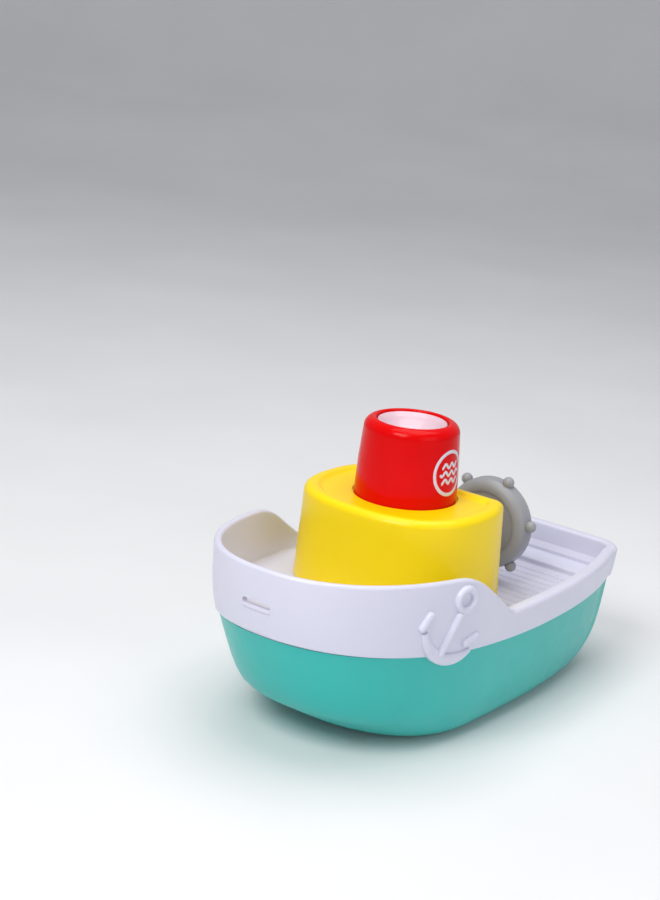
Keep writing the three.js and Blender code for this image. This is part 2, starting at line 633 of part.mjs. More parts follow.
const riserTube = () => tube([
  [37.4, 0, PUMP.outletZ], [41, 0, PUMP.outletZ + 0.4], [45, 0, 14],
  [45.6, 0, 22], [45.6, 0, 45], [45.6, 0, 66],
  [42, 0, 78], [30, 0, 86], [19, 0, 91.5], [16, 0, 100], [FUNNEL_X, 0, FUNNEL_TOP_Z - DISH_DROP - 11.3],
], 3, 1.9, 22);

// ---- Battery compartment ----
const batteryX = (i) => (BOX_X[0] + BOX_X[1]) / 2 + (i - (BATTERY_COUNT - 1) / 2) * BATTERY_PITCH;
const PLATE_THICK = 0.6;
const BATTERY_END_Y = BOX_HALF_Y - BOX_WALL - GAP - PLATE_THICK - 0.2;

function batteryBox() {
  const low = 2.7;
  const outer = block(BOX_X, [-BOX_HALF_Y, BOX_HALF_Y], [low, BOX_TOP_Z]);
  const flange = block([BOX_X[0] - 2, BOX_X[1] + 2], [-BOX_HALF_Y - 2, BOX_HALF_Y + 2], [low, low + 1.5]);
  const web = block([BOX_X[1] - 1, DOOR_SCREW_X], [-1, 1], [low, 13]);
  const boss = rod(2.8, low, 13, DOOR_SCREW_X, 0).add(web);
  const innerY = BOX_HALF_Y - BOX_WALL;
  const inner = block([BOX_X[0] + BOX_WALL, BOX_X[1] - BOX_WALL], [-innerY, innerY], [0, BOX_TOP_Z - BOX_WALL]);
  const pilot = rod(PILOT_R, 0, 11, DOOR_SCREW_X, 0, 12);
  return cut(joined(outer, flange, boss), inner, pilot);
}

function batteryDoor() {
  const plate = doorPlate(-GAP, [0.25, 2.1]);
  const hole = rod(PILOT_R, -1, 4, DOOR_SCREW_X, 0, 12).add(rod(3.1, -1, 1.6, DOOR_SCREW_X, 0, 16));
  const fingerNotch = block([BOX_X[1] - 6, BOX_X[1] - 3.5], [-7, 7], [-1, 0.9]);
  return cut(plate, hole, fingerNotch);
}

function batteryDoorSeal() {
  const out = BOX_WALL + GAP;
  const x = [BOX_X[0] + out, BOX_X[1] - out];
  const y = BOX_HALF_Y - out;
  const frame = block(x, [-y, y], [2.4, 3.8]);
  return cut(frame, block([x[0] + 1.6, x[1] - 1.6], [-y + 1.6, y - 1.6], [0, 6]));
}

const turnedAcross = (profile, x, z, segments = 20) => {
  const shape = new THREE.LatheGeometry(profile.map(([r, y]) => new THREE.Vector2(r, y)), segments);
  shape.translate(x, 0, z);
  return solid(shape);
};

// Each cell faces the other way from its neighbours; direction is the way its cap points along Y.
function battery(i) {
  const direction = i % 2 ? -1 : 1;
  const cap = direction * BATTERY_END_Y;
  const base = cap - direction * BATTERY_LENGTH;
  const shoulder = cap - direction * 1.6;
  const profile = [[0, base], [BATTERY_R, base], [BATTERY_R, shoulder], [2.7, shoulder], [2.7, cap], [0, cap]];
  return turnedAcross(direction > 0 ? profile : profile.reverse(), batteryX(i), BATTERY_Z);
}

// Conical contact spring between the base of a cell and its plate.
function batterySpring(i) {
  const direction = i % 2 ? -1 : 1;
  const start = direction * (BATTERY_END_Y - BATTERY_LENGTH) - direction * 0.7;
  const end = -direction * (BATTERY_END_Y - 0.6);
  const points = [];
  const turns = 3;
  const steps = 10 * turns;
  for (let k = 0; k <= steps; k += 1) {
    const share = k / steps;
    const angle = share * turns * 2 * Math.PI;
    const r = 2.6 + 1.8 * share;
    const y = start + (end - start) * share;
    points.push([batteryX(i) + r * Math.cos(angle), y, BATTERY_Z + r * Math.sin(angle)]);
  }
  return tube(points, 0.45, 0, 27, 4);
}

function contactPlate(side) {
  const inside = side * (BOX_HALF_Y - BOX_WALL - GAP);
  const y = [Math.min(inside, inside - side * PLATE_THICK), Math.max(inside, inside - side * PLATE_THICK)];
  return block([BOX_X[0] + BOX_WALL + GAP, BOX_X[1] - BOX_WALL - GAP], y, [6, 18.5]);
}

// ---- Electrics ----
const circuitBoard = () => block([-45, -17], [-12, 12], [BOX_TOP_Z + 2, BOX_TOP_Z + 3.6]);
const controlChip = () => block([-36, -26], [-4, 4], [BOX_TOP_Z + 3.9, BOX_TOP_Z + 6]);

const CONTACT_PROFILE = [[0, 0.3], [2.2, 0.3], [2.2, 1.4], [1.1, 1.9], [1.1, 9], [0, 9]];
const waterContact = ([x, y]) => turned(CONTACT_PROFILE, x, y, 14);

// The leads run in mirrored pairs; side is 1 to port and -1 to starboard.
const LEAD_TOP_Z = BOX_TOP_Z + 4.4;
const motorLead = (side) => [
  [-19, 5 * side, LEAD_TOP_Z], [-10, 8 * side, 32], [-1, 9 * side, 34],
  [3, 9 * side, 37.5], [3.4, 8 * side, 42], [8, 5.6 * side, 44],
];
const contactLead = (side) => [
  [-22, 9 * side, LEAD_TOP_Z], [-8, 20 * side, 28], [14, 20 * side, 20], [32, 14 * side, 11], [38, 8 * side, 10],
];
const lead = (points) => tube(points, 0.7, 0, 20, 6);

// ---- Ship's wheel ----
function shipsWheel() {
  const half = WHEEL_THICK / 2;
  const front = WHEEL_X + half;
  const back = WHEEL_X - half;
  const disc = turnedAlongX([
    [0, back], [WHEEL_R - 1.5, back], [WHEEL_R, back + 1.5],
    [WHEEL_R, front - 5.5], [WHEEL_R - 1.2, front - 2.6],
    [WHEEL_R - 4.4, front - 0.4], [WHEEL_R - 7, front], [0, front],
  ], 0, WHEEL_Z, 40);
  const knobs = [];
  for (let i = 0; i < KNOB_COUNT; i += 1) {
    const angle = THREE.MathUtils.degToRad(KNOB_START_DEG + (360 / KNOB_COUNT) * i);
    const y = KNOB_CIRCLE_R * Math.cos(angle);
    const z = WHEEL_Z + KNOB_CIRCLE_R * Math.sin(angle);
    knobs.push(solid(new THREE.SphereGeometry(KNOB_R, 10, 7).translate(WHEEL_X - 0.6, y, z)));
  }
  return cut(joined(disc, ...knobs), rodAlongX(SHAFT_BORE_R, back - 1, front + 1, 0, WHEEL_Z, 16));
}

function wheelShaft() {
  const head = WHEEL_X - WHEEL_THICK / 2 - GAP;
  const end = PEDESTAL.x[1] + 3;
  return turnedAlongX([
    [0, head - 1.4], [3.6, head - 1.4], [3.6, head], [WHEEL_SHAFT_R, head], [WHEEL_SHAFT_R, end], [0, end],
  ], 0, WHEEL_Z, 16);
}

function wheelPedestal() {
  const [x0, x1] = PEDESTAL.x;
  const half = PEDESTAL.halfY;
  const foot = block([x0, x1], [-half, half], [AFT_DECK_Z + GAP, WHEEL_Z]);
  const head = rodAlongX(half, x0, x1, 0, WHEEL_Z, 32);
  const bore = rodAlongX(3.6, x0 - 1, x1 + 1, 0, WHEEL_Z, 20);
  const holes = PEDESTAL_SCREWS.map(([x, y]) => rod(PILOT_R, 30, 52, x, y, 12));
  return cut(foot.add(head), bore, ...holes);
}

const wheelBush = () => ringAlongX(WHEEL_SHAFT_R + 0.15, 3.3, PEDESTAL.x[0], PEDESTAL.x[1], 0, WHEEL_Z, 20);
const collar = (r, x0, x1) => ringAlongX(SHAFT_BORE_R, r, x0, x1, 0, WHEEL_Z, 20);
const wheelWasher = () => collar(5, PEDESTAL.x[0] - 2.5, PEDESTAL.x[0] - 0.4);
const shaftClip = () => collar(4, PEDESTAL.x[1] + 0.6, PEDESTAL.x[1] + 1.6);

// ---- Assembly ----
const boat = new THREE.Group();

function add(name, manifold, material) {
  const mesh = new THREE.Mesh(geometryOf(manifold), material);
  mesh.name = name;
  boat.add(mesh);
}

add('hull_shell', hullShell(), plastic(TEAL));
add('hull_seal', hullSeal(), plastic(RUBBER, 0.7));
add('deck_shell', deckShell(), plastic(WHITE));
add('cabin_shell', cabinShell(), plastic(YELLOW));
add('funnel_shell', funnelShell(), plastic(RED, 0.2));
add('nozzle_dish', nozzleDish(), plastic(PALE_PINK, 0.4));
add('riser_tube', riserTube(), plastic(MILKY, 0.4));
add('pump_housing', pumpHousing(), plastic(DARK_GREY, 0.5));
add('impeller', impeller(), plastic(NATURAL, 0.4));
add('intake_grille', intakeGrille(), plastic(TEAL));
add('shaft_seal', shaftSeal(), plastic(RUBBER, 0.7));
add('motor_bracket', motorBracket(), plastic(DARK_GREY, 0.5));
add('motor_can', motorCan(), metal(STEEL));
add('motor_end_cap', motorEndCap(), plastic(NATURAL, 0.5));
add('motor_armature', motorArmature(), metal(COPPER));
add('motor_magnet_port', motorMagnet(1), plastic(MAGNET_GREY, 0.6));
add('motor_magnet_starboard', motorMagnet(-1), plastic(MAGNET_GREY, 0.6));
add('motor_shaft', motorShaft(), metal(STEEL, 0.2));
add('battery_box', batteryBox(), plastic(BLACK, 0.5));
add('battery_door', batteryDoor(), plastic(TEAL));
add('battery_door_seal', batteryDoorSeal(), plastic(RUBBER, 0.7));
for (let i = 0; i < BATTERY_COUNT; i += 1) {
  add(`battery_${i + 1}`, battery(i), metal(STEEL));
  add(`battery_spring_${i + 1}`, batterySpring(i), metal(STEEL, 0.25));
}
add('contact_plate_port', contactPlate(1), metal(BRASS));
add('contact_plate_starboard', contactPlate(-1), metal(BRASS));
add('circuit_board', circuitBoard(), plastic(BOARD_GREEN, 0.5));
add('control_chip', controlChip(), plastic(BLACK, 0.5));
add('water_contact_port', waterContact(CONTACTS[0]), metal(STEEL, 0.2));
add('water_contact_starboard', waterContact(CONTACTS[1]), metal(STEEL, 0.2));
add('motor_lead_red', lead(motorLead(1)), plastic(RED, 0.5));
add('motor_lead_black', lead(motorLead(-1)), plastic(BLACK, 0.5));
add('contact_lead_port', lead(contactLead(1)), plastic(BLACK, 0.5));
add('contact_lead_starboard', lead(contactLead(-1)), plastic(BLACK, 0.5));
HULL_SCREWS.forEach(([x, y], i) => add(`hull_screw_${i + 1}`, screw(x, y, 13.7, 31), metal(STEEL)));
CABIN_SCREWS.forEach(([x, y], i) => {
  const under = (x > NOTCH_FOOT_X ? FORE_DECK_Z : AFT_DECK_Z) - DECK_PLATE;
  add(`cabin_screw_${i + 1}`, screw(x, y, under - GAP, under + 13), metal(STEEL));
});
FUNNEL_SCREWS.forEach(([x, y], i) => {
  add(`funnel_screw_${i + 1}`, screw(x, y, ROOF_Z - 2.8, ROOF_Z + 6), metal(STEEL));
});
PEDESTAL_SCREWS.forEach(([x, y], i) => {
  const under = AFT_DECK_Z - DECK_PLATE;
  add(`pedestal_screw_${i + 1}`, screw(x, y, under - GAP, under + 12, 2.5), metal(STEEL));
});
add('door_screw', screw(DOOR_SCREW_X, 0, 1.45, 10, 2.6, 1.1), metal(STEEL));
add('ships_wheel', shipsWheel(), plastic(GREY, 0.35));
add('wheel_shaft', wheelShaft(), metal(STEEL, 0.2));
add('wheel_pedestal', wheelPedestal(), plastic(WHITE));
add('wheel_bush', wheelBush(), plastic(NATURAL, 0.5));
add('wheel_washer', wheelWasher(), plastic(NATURAL, 0.5));
add('shaft_clip', shaftClip(), metal(STEEL));

export default boat;
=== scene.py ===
"""Looks of a bath-toy tugboat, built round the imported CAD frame.

Lengths are in millimetres until a mesh is made. +X is the bow, +Y is port and +Z is up, as in the CAD.
"""

import json
import math

import bmesh
import bpy
from mathutils import Matrix, Vector


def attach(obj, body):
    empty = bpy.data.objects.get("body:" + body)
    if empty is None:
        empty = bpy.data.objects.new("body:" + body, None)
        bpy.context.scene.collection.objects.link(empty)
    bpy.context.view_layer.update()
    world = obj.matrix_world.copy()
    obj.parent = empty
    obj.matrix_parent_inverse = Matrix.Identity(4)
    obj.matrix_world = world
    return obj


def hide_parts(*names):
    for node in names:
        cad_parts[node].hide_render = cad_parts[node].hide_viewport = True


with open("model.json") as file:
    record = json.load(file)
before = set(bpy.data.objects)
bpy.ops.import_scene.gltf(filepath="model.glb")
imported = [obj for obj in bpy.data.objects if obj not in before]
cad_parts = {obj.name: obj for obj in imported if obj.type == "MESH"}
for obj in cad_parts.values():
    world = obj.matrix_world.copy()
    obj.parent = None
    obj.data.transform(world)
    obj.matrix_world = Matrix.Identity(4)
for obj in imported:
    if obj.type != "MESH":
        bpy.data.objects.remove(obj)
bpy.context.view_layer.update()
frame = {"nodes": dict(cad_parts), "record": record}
NODES = frame["nodes"]
MM = 0.001

# ---- Hull lines, as in the CAD ----
# Plan lines are (bow x, half-beam, stern x, half-width at the stern, corner radius).
BEAM_X = 16.0
PLAN_POWER = 2.36
BOW_STEPS = 72
SIDE_STEPS = 48
CORNER_STEPS = 10
TRANSOM_STEPS = 12
STEP_SHARES = [0.0588, 0.0594, 0.0603]  # extra places at the step between the two decks
SEAM_AFT_Z = 43.0
SEAM_BOW_RISE = 11.3
SEAM_RISE_START_X = -20.0
BOW_X = 115.0
STERN_X = -115.0
TOP_Z = 85.0
HULL_WALL = 2.4
HULL_TOP_RISE = 0.15
HULL_LEVELS = 22
HULL_LINES = [  # height and the plan lines there, up to the seam
    (0.0, (48.0, 38.0, -68.0, 34.0, 18.0)),
    (1.5, (57.0, 43.5, -77.0, 37.0, 18.0)),
    (5.0, (67.0, 48.0, -87.0, 38.8, 18.0)),
    (12.0, (80.0, 51.0, -98.0, 38.8, 17.0)),
    (22.0, (94.0, 53.3, -106.0, 37.8, 15.0)),
]
HULL_SEAM = (110.3, 55.5, -112.3, 36.6, 13.0)
BAND_SEAM = (111.5, 56.7, -113.5, 37.8, 14.0)
BAND_TOP = (114.9, 58.5, -114.95, 39.4, 14.0)
BAND_CORNER_X = -101.0  # where the band's side runs into its stern corner

HULL_SCREWS = [(-80, 21), (-80, -21), (64, 21), (64, -21)]
BOSS_R = 4.4
SCREW_HEAD_R = 3.4
SCREW_HOLE_R = 1.8
CONTACTS = [(38, 8), (38, -8)]
CONTACT_R = 2.5
DOOR_X = (-58.0, -7.0)
DOOR_HALF_Y = 30.0
DOOR_SCREW_X = -4.0
DOOR_EAR_R = 4.5
INTAKE_R = 9.0

LOW_RAIL_Z = 56.8
HIGH_RAIL_Z = 80.0
HIGH_RAIL_BOW_Z = 84.0
NOTCH_TOP_X = 41.0
NOTCH_FOOT_X = 9.0
AFT_DECK_Z = 40.5
FORE_DECK_Z = 56.0
DECK_PLATE = 2.5
FORE_PLATE = 1.3
BENCH_X = -92.0
BENCH_Z = 43.5
PLANK_PITCH = 6.3
SLOT_HALF_Y = 7.3
SLOT_Z = (67.2, 69.8)
AFT_RAIL_WALL = 6.0
FORE_RAIL_WALL = 3.4
AFT_WALL_FOOT = 2.2
AFT_FOOT_Z = (45.0, 47.5)  # the low rail's inner face steps inwards between these heights
SEAM_GAP = 0.2
SEAM_TUCK = 0.5
LIP_R = 1.5
DECK_FILLET = 1.4
SPIGOT_DEPTHS = (8.4, 6.6, 4.6)
SPIGOT_DROP = 3.0
FIRST_GROOVE_X = -9.0
GROOVE_HALF = 0.45
GROOVE_DEPTH = 0.42
WAY_DOWN = ((1, -16, 30), (51, 16, 70))

ANCHOR_X = 47.6
ANCHOR_Z = 71.4
ANCHOR_LEAN = math.radians(25)
RING_R = (5.2, 4.6)
RING_HALF = 1.5
SHANK_END = -26.0
SHANK_HALF = 1.6
ARM_R = 20.1
ARM_CENTRE = (-1.4, -6.2)
ARM_SWEEP_DEG = 51.0
ARM_HALF = 2.7
ARM_RELIEF = 1.7
# Each fluke is a bar from one point to another, as (u, v) from the centre of the ring.
FLUKES = [((15.9, -9.7), (17.2, -18.9)), ((-18.3, -11.2), (-10.8, -18.1))]
FLUKE_HALF = 1.7
RELIEF = 2.1
RELIEF_ROOT = -2.4

FUNNEL_X = 16.0
ROOF_Z = 96.0
ROOF_RIM_Z = 97.4
FUNNEL_BASE_R = 22.6
FUNNEL_TOP_R = 20.8
FUNNEL_TOP_Z = 130.0
FUNNEL_WALL = 1.8
FUNNEL_FOOT_Z = 95.3
FUNNEL_BEND_RISE = 16.0
FUNNEL_SHOULDER = 4.6
SOCKET_GAP = 0.7
DISH_DROP = 4.6
DISH_RIM_R = 15.2
CABIN_FRONT_X = 55.5
CABIN_AFT_X = -9.0
CABIN_OVAL_AFT = 35.0
CABIN_HALF = 42.3
CABIN_POWER = 2.5
CABIN_CORNER = 4.0
CABIN_DRAFT = 2.2
CABIN_WALL = 2.2
CABIN_ROOF_ROUND = 3.3

EMBLEM_Z = 111.0
EMBLEM_AZIMUTH = math.radians(90)
EMBLEM_R = 9.4
EMBLEM_RING_HALF = 0.75
WAVES = ((3.4, 5.4), (0.0, 6.4), (-3.4, 5.4))  # height and half-length of each
WAVE_HALF = 0.6
WAVE_LIFT = 0.95
WAVE_LENGTH = 4.3

WHEEL_X = -56.0
WHEEL_Z = 67.9
WHEEL_R = 21.7
WHEEL_HALF = 5.0
KNOB_CIRCLE_R = 23.0
KNOB_R = 2.7
KNOB_COUNT = 6
KNOB_START_DEG = 9.3
STAND_X = (-48.0, -39.0)
STAND_HALF = 9.0
STAND_BORE_R = 3.6

# Lights and backdrop are in metres.
LIGHT_TARGET = (0.0, 0.0, 0.06)
WORLD_COLOUR = (0.93, 0.95, 1.0, 1)
WORLD_STRENGTH = 0.38
BACKDROP_TURN_DEG = 35
BACKDROP_PROFILE = ((-7.0, 0.0), (1.4, 0.0), (1.9, 0.07), (2.25, 0.35), (2.4, 0.9), (2.4, 2.6))
VIEW_AZIMUTH_DEG = 36.37
VIEW_ELEVATION_DEG = 16.07
VIEW_ROLL_DEG = 5.41
VIEW_PLACE = (682.17, 447.87, 343.52)
LENS = 76.85


# ---- Materials ----
def linear(hex_colour):
    """A display colour such as "4eb8b0" as linear RGBA."""
    channels = []
    for start in (0, 2, 4):
        c = int(hex_colour[start : start + 2], 16) / 255
        channels.append(c / 12.92 if c <= 0.04045 else ((c + 0.055) / 1.055) ** 2.4)
    return (*channels, 1.0)


def shade(colour, factor):
    """The colour made lighter or darker."""
    return tuple(min(1.0, c * factor) for c in colour[:3]) + (1.0,)


class Nodes:
    """A short way to add and link shader nodes in one material."""

    def __init__(self, name):
        self.material = bpy.data.materials.new(name)
        self.material.use_nodes = True
        self.tree = self.material.node_tree
        self.shader = self.tree.nodes["Principled BSDF"]
        coordinates = self.tree.nodes.new("ShaderNodeTexCoord")
        self.place = coordinates.outputs["Object"]

    def noise(self, scale, detail=2.0, roughness=0.5):
        node = self.tree.nodes.new("ShaderNodeTexNoise")
        node.inputs["Scale"].default_value = scale
        node.inputs["Detail"].default_value = detail
        node.inputs["Roughness"].default_value = roughness
        self.link(self.place, node.inputs["Vector"])
        return node.outputs["Fac"]

    def ramp(self, factor, low, high, colour_a, colour_b):
        node = self.tree.nodes.new("ShaderNodeValToRGB")
        node.color_ramp.elements[0].position = low
        node.color_ramp.elements[1].position = high
        node.color_ramp.elements[0].color = colour_a
        node.color_ramp.elements[1].color = colour_b
        self.link(factor, node.inputs["Fac"])
        return node.outputs["Color"]

    def spread(self, factor, low, high, to_low, to_high):
        node = self.tree.nodes.new("ShaderNodeMapRange")
        values = (low, high, to_low, to_high)
        for socket, value in zip(("From Min", "From Max", "To Min", "To Max"), values):
            node.inputs[socket].default_value = value
        self.link(factor, node.inputs["Value"])
        return node.outputs["Result"]

    def bump(self, height, strength, distance, normal=None):
        node = self.tree.nodes.new("ShaderNodeBump")
        node.inputs["Strength"].default_value = strength
        node.inputs["Distance"].default_value = distance
        self.link(height, node.inputs["Height"])
        if normal:
            self.link(normal, node.inputs["Normal"])
        return node.outputs["Normal"]

    def link(self, a, b):
        self.tree.links.new(a, b)

    def set(self, **values):
        for socket, value in values.items():
            self.shader.inputs[socket.replace("_", " ")].default_value = value


def moulded(name, colour, roughness=0.24, coat=0.35, glow=0.0, tone=0.05, specular=0.5):
    """Moulded plastic: soft tone changes, faint flow waves, a fine grain and patches of handling."""
    m = Nodes(name)
    base = linear(colour)
    broad = m.noise(22.0, 3.0)
    body = m.ramp(broad, 0.3, 0.7, shade(base, 1.0 - tone), shade(base, 1.0 + tone / 2))
    m.link(body, m.shader.inputs["Base Color"])
    smear = m.noise(150.0, 4.0, 0.6)
    polish = m.spread(smear, 0.25, 0.75, roughness * 0.85, roughness * 1.25)
    m.link(polish, m.shader.inputs["Roughness"])
    waves = m.bump(broad, 0.05, 0.001)
    grain = m.bump(m.noise(1500.0, 2.0), 0.04, 0.00006, waves)
    m.link(grain, m.shader.inputs["Normal"])
    m.set(Coat_Weight=coat, Coat_Roughness=0.12, IOR=1.5, Specular_IOR_Level=specular)
    if glow:
        m.set(Subsurface_Weight=glow, Subsurface_Radius=(0.004, 0.003, 0.002), Subsurface_Scale=0.5)
    return m.material


def metallic(name, colour, roughness=0.28):
    """Drawn or turned metal with fine scratches along the piece's own Z."""
    m = Nodes(name)
    base = linear(colour)
    streak = m.tree.nodes.new("ShaderNodeMapping")
    streak.inputs["Scale"].default_value = (900.0, 900.0, 40.0)
    m.link(m.place, streak.inputs["Vector"])
    scratches = m.tree.nodes.new("ShaderNodeTexNoise")
    scratches.inputs["Scale"].default_value = 1.0
    scratches.inputs["Detail"].default_value = 4.0
    m.link(streak.outputs["Vector"], scratches.inputs["Vector"])
    fine = scratches.outputs["Fac"]
    m.link(m.ramp(fine, 0.3, 0.7, shade(base, 0.82), shade(base, 1.1)), m.shader.inputs["Base Color"])
    m.link(m.spread(fine, 0.3, 0.7, roughness * 0.8, roughness * 1.4), m.shader.inputs["Roughness"])
    m.link(m.bump(fine, 0.12, 0.00006), m.shader.inputs["Normal"])
    m.set(Metallic=1.0)
    return m.material


def rubbery(name, colour):
    """Matt seal rubber with a mottled, dusty surface."""
    m = Nodes(name)
    base = linear(colour)
    mottle = m.noise(420.0, 4.0, 0.6)
    body = m.ramp(mottle, 0.3, 0.75, shade(base, 0.8), shade(base, 1.35))
    m.link(body, m.shader.inputs["Base Color"])
    m.link(m.spread(mottle, 0.2, 0.8, 0.6, 0.85), m.shader.inputs["Roughness"])
    m.link(m.bump(m.noise(1800.0, 3.0), 0.2, 0.0001), m.shader.inputs["Normal"])
    return m.material


TEAL = moulded("teal_moulded", "36bbb3", roughness=0.34, coat=0.1, specular=0.3)
WHITE = moulded("white_moulded", "d9d9ea", roughness=0.36, coat=0.12, tone=0.015)
YELLOW = moulded("yellow_moulded", "ffdd00", roughness=0.32, coat=0.1, tone=0.03, specular=0.3)
RED = moulded("red_moulded", "dc0002", roughness=0.2, coat=0.08, tone=0.05, specular=0.1)
GREY = moulded("grey_moulded", "9d9fa3", roughness=0.4, coat=0.1, tone=0.06)
# Pale dish plastic; its pink tint is painted reflection of the red funnel round the mouth.
PALE_WITH_PAINTED_RED_REFLECTION = moulded("pale_moulded_painted_red_reflection", "dfc0cb", roughness=0.3, coat=0.3, glow=0.15, tone=0.04)
SLOT_MATERIALS = {
    "teal_plastic": TEAL,
    "white_plastic": WHITE,
    "yellow_plastic": YELLOW,
    "red_plastic": RED,
    "grey_plastic": GREY,
    "pink_plastic": PALE_WITH_PAINTED_RED_REFLECTION,
    "clear_tube": moulded("milky_tube", "dde6e6", roughness=0.35, coat=0.1, glow=0.4),
    "dark_plastic": moulded("dark_moulded", "3c3f45", roughness=0.5, coat=0.0),
    "natural_plastic": moulded("natural_moulded", "e6e4da", roughness=0.4, coat=0.1, glow=0.2),
    "magnet": moulded("sintered_magnet", "34363a", roughness=0.6, coat=0.0, tone=0.15),
    "board": moulded("board_laminate", "2b6a3a", roughness=0.4, coat=0.3, tone=0.12),
    "seal_rubber": rubbery("seal_rubber", "43474a"),
    "steel": metallic("bright_steel", "b9bcc0", 0.25),
    "copper_core": metallic("wound_copper", "a5694a", 0.35),
    "contact_brass": metallic("contact_brass", "c9a45a", 0.3),
    "cell_jacket": metallic("cell_jacket", "8f959c", 0.4),
    "red_wire": moulded("red_wire", "c01018", roughness=0.4, coat=0.1),
    "black_wire": moulded("black_wire", "2b2b2d", roughness=0.45, coat=0.1),
}
for part in frame["record"]["subparts"]:
    node = NODES[part["node"]]
    node.data.materials.clear()
    node.data.materials.append(SLOT_MATERIALS[part["material_slot"]])


# ---- Mesh helpers ----
def piece(name, points, faces, material=None, sharp_deg=38.0):
    """A smooth mesh from points in millimetres. Edges sharper than sharp_deg keep their crease."""
    mesh = bpy.data.meshes.new(name)
    mesh.from_pydata([Vector(p) * MM for p in points], [], faces)
    obj = bpy.data.objects.new(name, mesh)
    bpy.context.scene.collection.objects.link(obj)
    settle(obj, sharp_deg)
    if material:
        mesh.materials.append(material)
    return obj


def settle(obj, sharp_deg=38.0):
    """Merges doubled points, turns the faces outwards and marks the sharp edges."""
    bm = bmesh.new()
    bm.from_mesh(obj.data)
    bmesh.ops.remove_doubles(bm, verts=bm.verts, dist=1e-6)
    bmesh.ops.dissolve_degenerate(bm, edges=bm.edges, dist=1e-7)
    bmesh.ops.recalc_face_normals(bm, faces=bm.faces)
    limit = math.radians(sharp_deg)
    for face in bm.faces:
        face.smooth = True
    for edge in bm.edges:
        edge.smooth = edge.is_boundary or edge.calc_face_angle(0.0) < limit
    bm.to_mesh(obj.data)
    bm.free()


def grid_faces(rows, columns, wrap_rows=False, wrap_columns=False):
    """Quads between rows of points laid one after another."""
    faces = []
    for r in range(rows if wrap_rows else rows - 1):
        for c in range(columns if wrap_columns else columns - 1):
            a, b = r * columns + c, r * columns + (c + 1) % columns
            below = ((r + 1) % rows) * columns
            faces.append((a, b, below + (c + 1) % columns, below + c))
    return faces


def end_caps(rows, columns):
    """Faces that close the first and the last row."""
    last = (rows - 1) * columns
    return [tuple(range(columns)), tuple(last + k for k in reversed(range(columns)))]


def across_line(line, i, closed):
    """Unit direction across a drawn line at its point i."""
    count = len(line)
    before = line[(i - 1) % count] if closed or i else line[0]
    after = line[(i + 1) % count] if closed or i + 1 < count else line[-1]
    du, dv = after[0] - before[0], after[1] - before[1]
    length = math.hypot(du, dv)
    return -dv / length, du / length


def lathe(name, profile, material=None, axis="Z", centre=(0, 0, 0), segments=96, sharp_deg=38.0):
    """A solid of revolution. The profile lists (radius, height along the axis)."""
    points = []
    for radius, height in profile:
        for k in range(segments):
            angle = 2 * math.pi * k / segments
            a, b = radius * math.cos(angle), radius * math.sin(angle)
            local = (a, b, height) if axis == "Z" else (height, a, b)
            points.append(tuple(p + c for p, c in zip(local, centre)))
    faces = grid_faces(len(profile), segments, wrap_columns=True)
    return piece(name, points, faces, material, sharp_deg)


def arc(cx, cz, radius, start_deg, end_deg, steps=6):
    """Points on a circle's arc, for a profile."""
    angles = [math.radians(start_deg + (end_deg - start_deg) * i / steps) for i in range(steps + 1)]
    return [(cx + radius * math.cos(a), cz + radius * math.sin(a)) for a in angles]


def boxed(name, low, high):
    """A plain cutter block."""
    xs, ys, zs = zip(low, high)
    corners = [(x, y, z) for x in xs for y in ys for z in zs]
    faces = [(0, 1, 3, 2), (4, 6, 7, 5), (0, 4, 5, 1), (2, 3, 7, 6), (0, 2, 6, 4), (1, 5, 7, 3)]
    return piece(name, corners, faces)


def rod(name, radius, z0, z1, x, y, segments=48):
    """A plain upright cutter rod."""
    profile = [(0, z0), (radius, z0), (radius, z1), (0, z1)]
    return lathe(name, profile, centre=(x, y, 0), segments=segments)


def along_x(name, radius, x0, x1, y, z, segments=40):
    """A plain cutter rod along X."""
    profile = [(0, x0), (radius, x0), (radius, x1), (0, x1)]
    return lathe(name, profile, None, "X", (0, y, z), segments)


def stack(name, loops, material=None, sharp_deg=38.0):
    """A closed body through stacked loops that mirror about the middle plane."""
    count = len(loops[0])
    points = [point for loop in loops for point in loop]
    faces = grid_faces(len(loops), count, wrap_columns=True)
    for start in (0, (len(loops) - 1) * count):
        for i in range(count // 2):
            strip = dict.fromkeys([i, i + 1, count - i - 1, (count - i) % count])
            faces.append(tuple(start + v for v in strip))
    return piece(name, points, faces, material, sharp_deg)


def combine(obj, others, operation, sharp_deg=38.0):
    """Joins the others to obj or cuts them from it, and removes them."""
    for other in others:
        modifier = obj.modifiers.new(operation.lower(), "BOOLEAN")
        modifier.operation = operation
        modifier.solver = "EXACT"
        modifier.object = other
        graph = bpy.context.evaluated_depsgraph_get()
        made = bpy.data.meshes.new_from_object(obj.evaluated_get(graph))
        obj.modifiers.clear()
        old = obj.data
        obj.data = made
        bpy.data.meshes.remove(old)
        bpy.data.objects.remove(other)
    settle(obj, sharp_deg)
    return obj


def fit_out(obj, body, slot, *nodes):
    """The piece rides on a body and stands for CAD nodes. The slot is not used."""
    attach(obj, body)
    if nodes:
        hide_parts(*nodes)


# ---- Lines of the boat ----
def seam_z(x):
    """Height of the seam between the two hull mouldings. It rises towards the bow."""
    along = max(0.0, (x - SEAM_RISE_START_X) / (BOW_X - SEAM_RISE_START_X))
    return SEAM_AFT_Z + SEAM_BOW_RISE * along**1.7


def smooth_min(a, b, reach):
    """The smaller of two values, with the crossing rounded off within this reach."""
    near = max(reach - abs(a - b), 0.0) / reach
    return min(a, b) - near * near * reach / 4


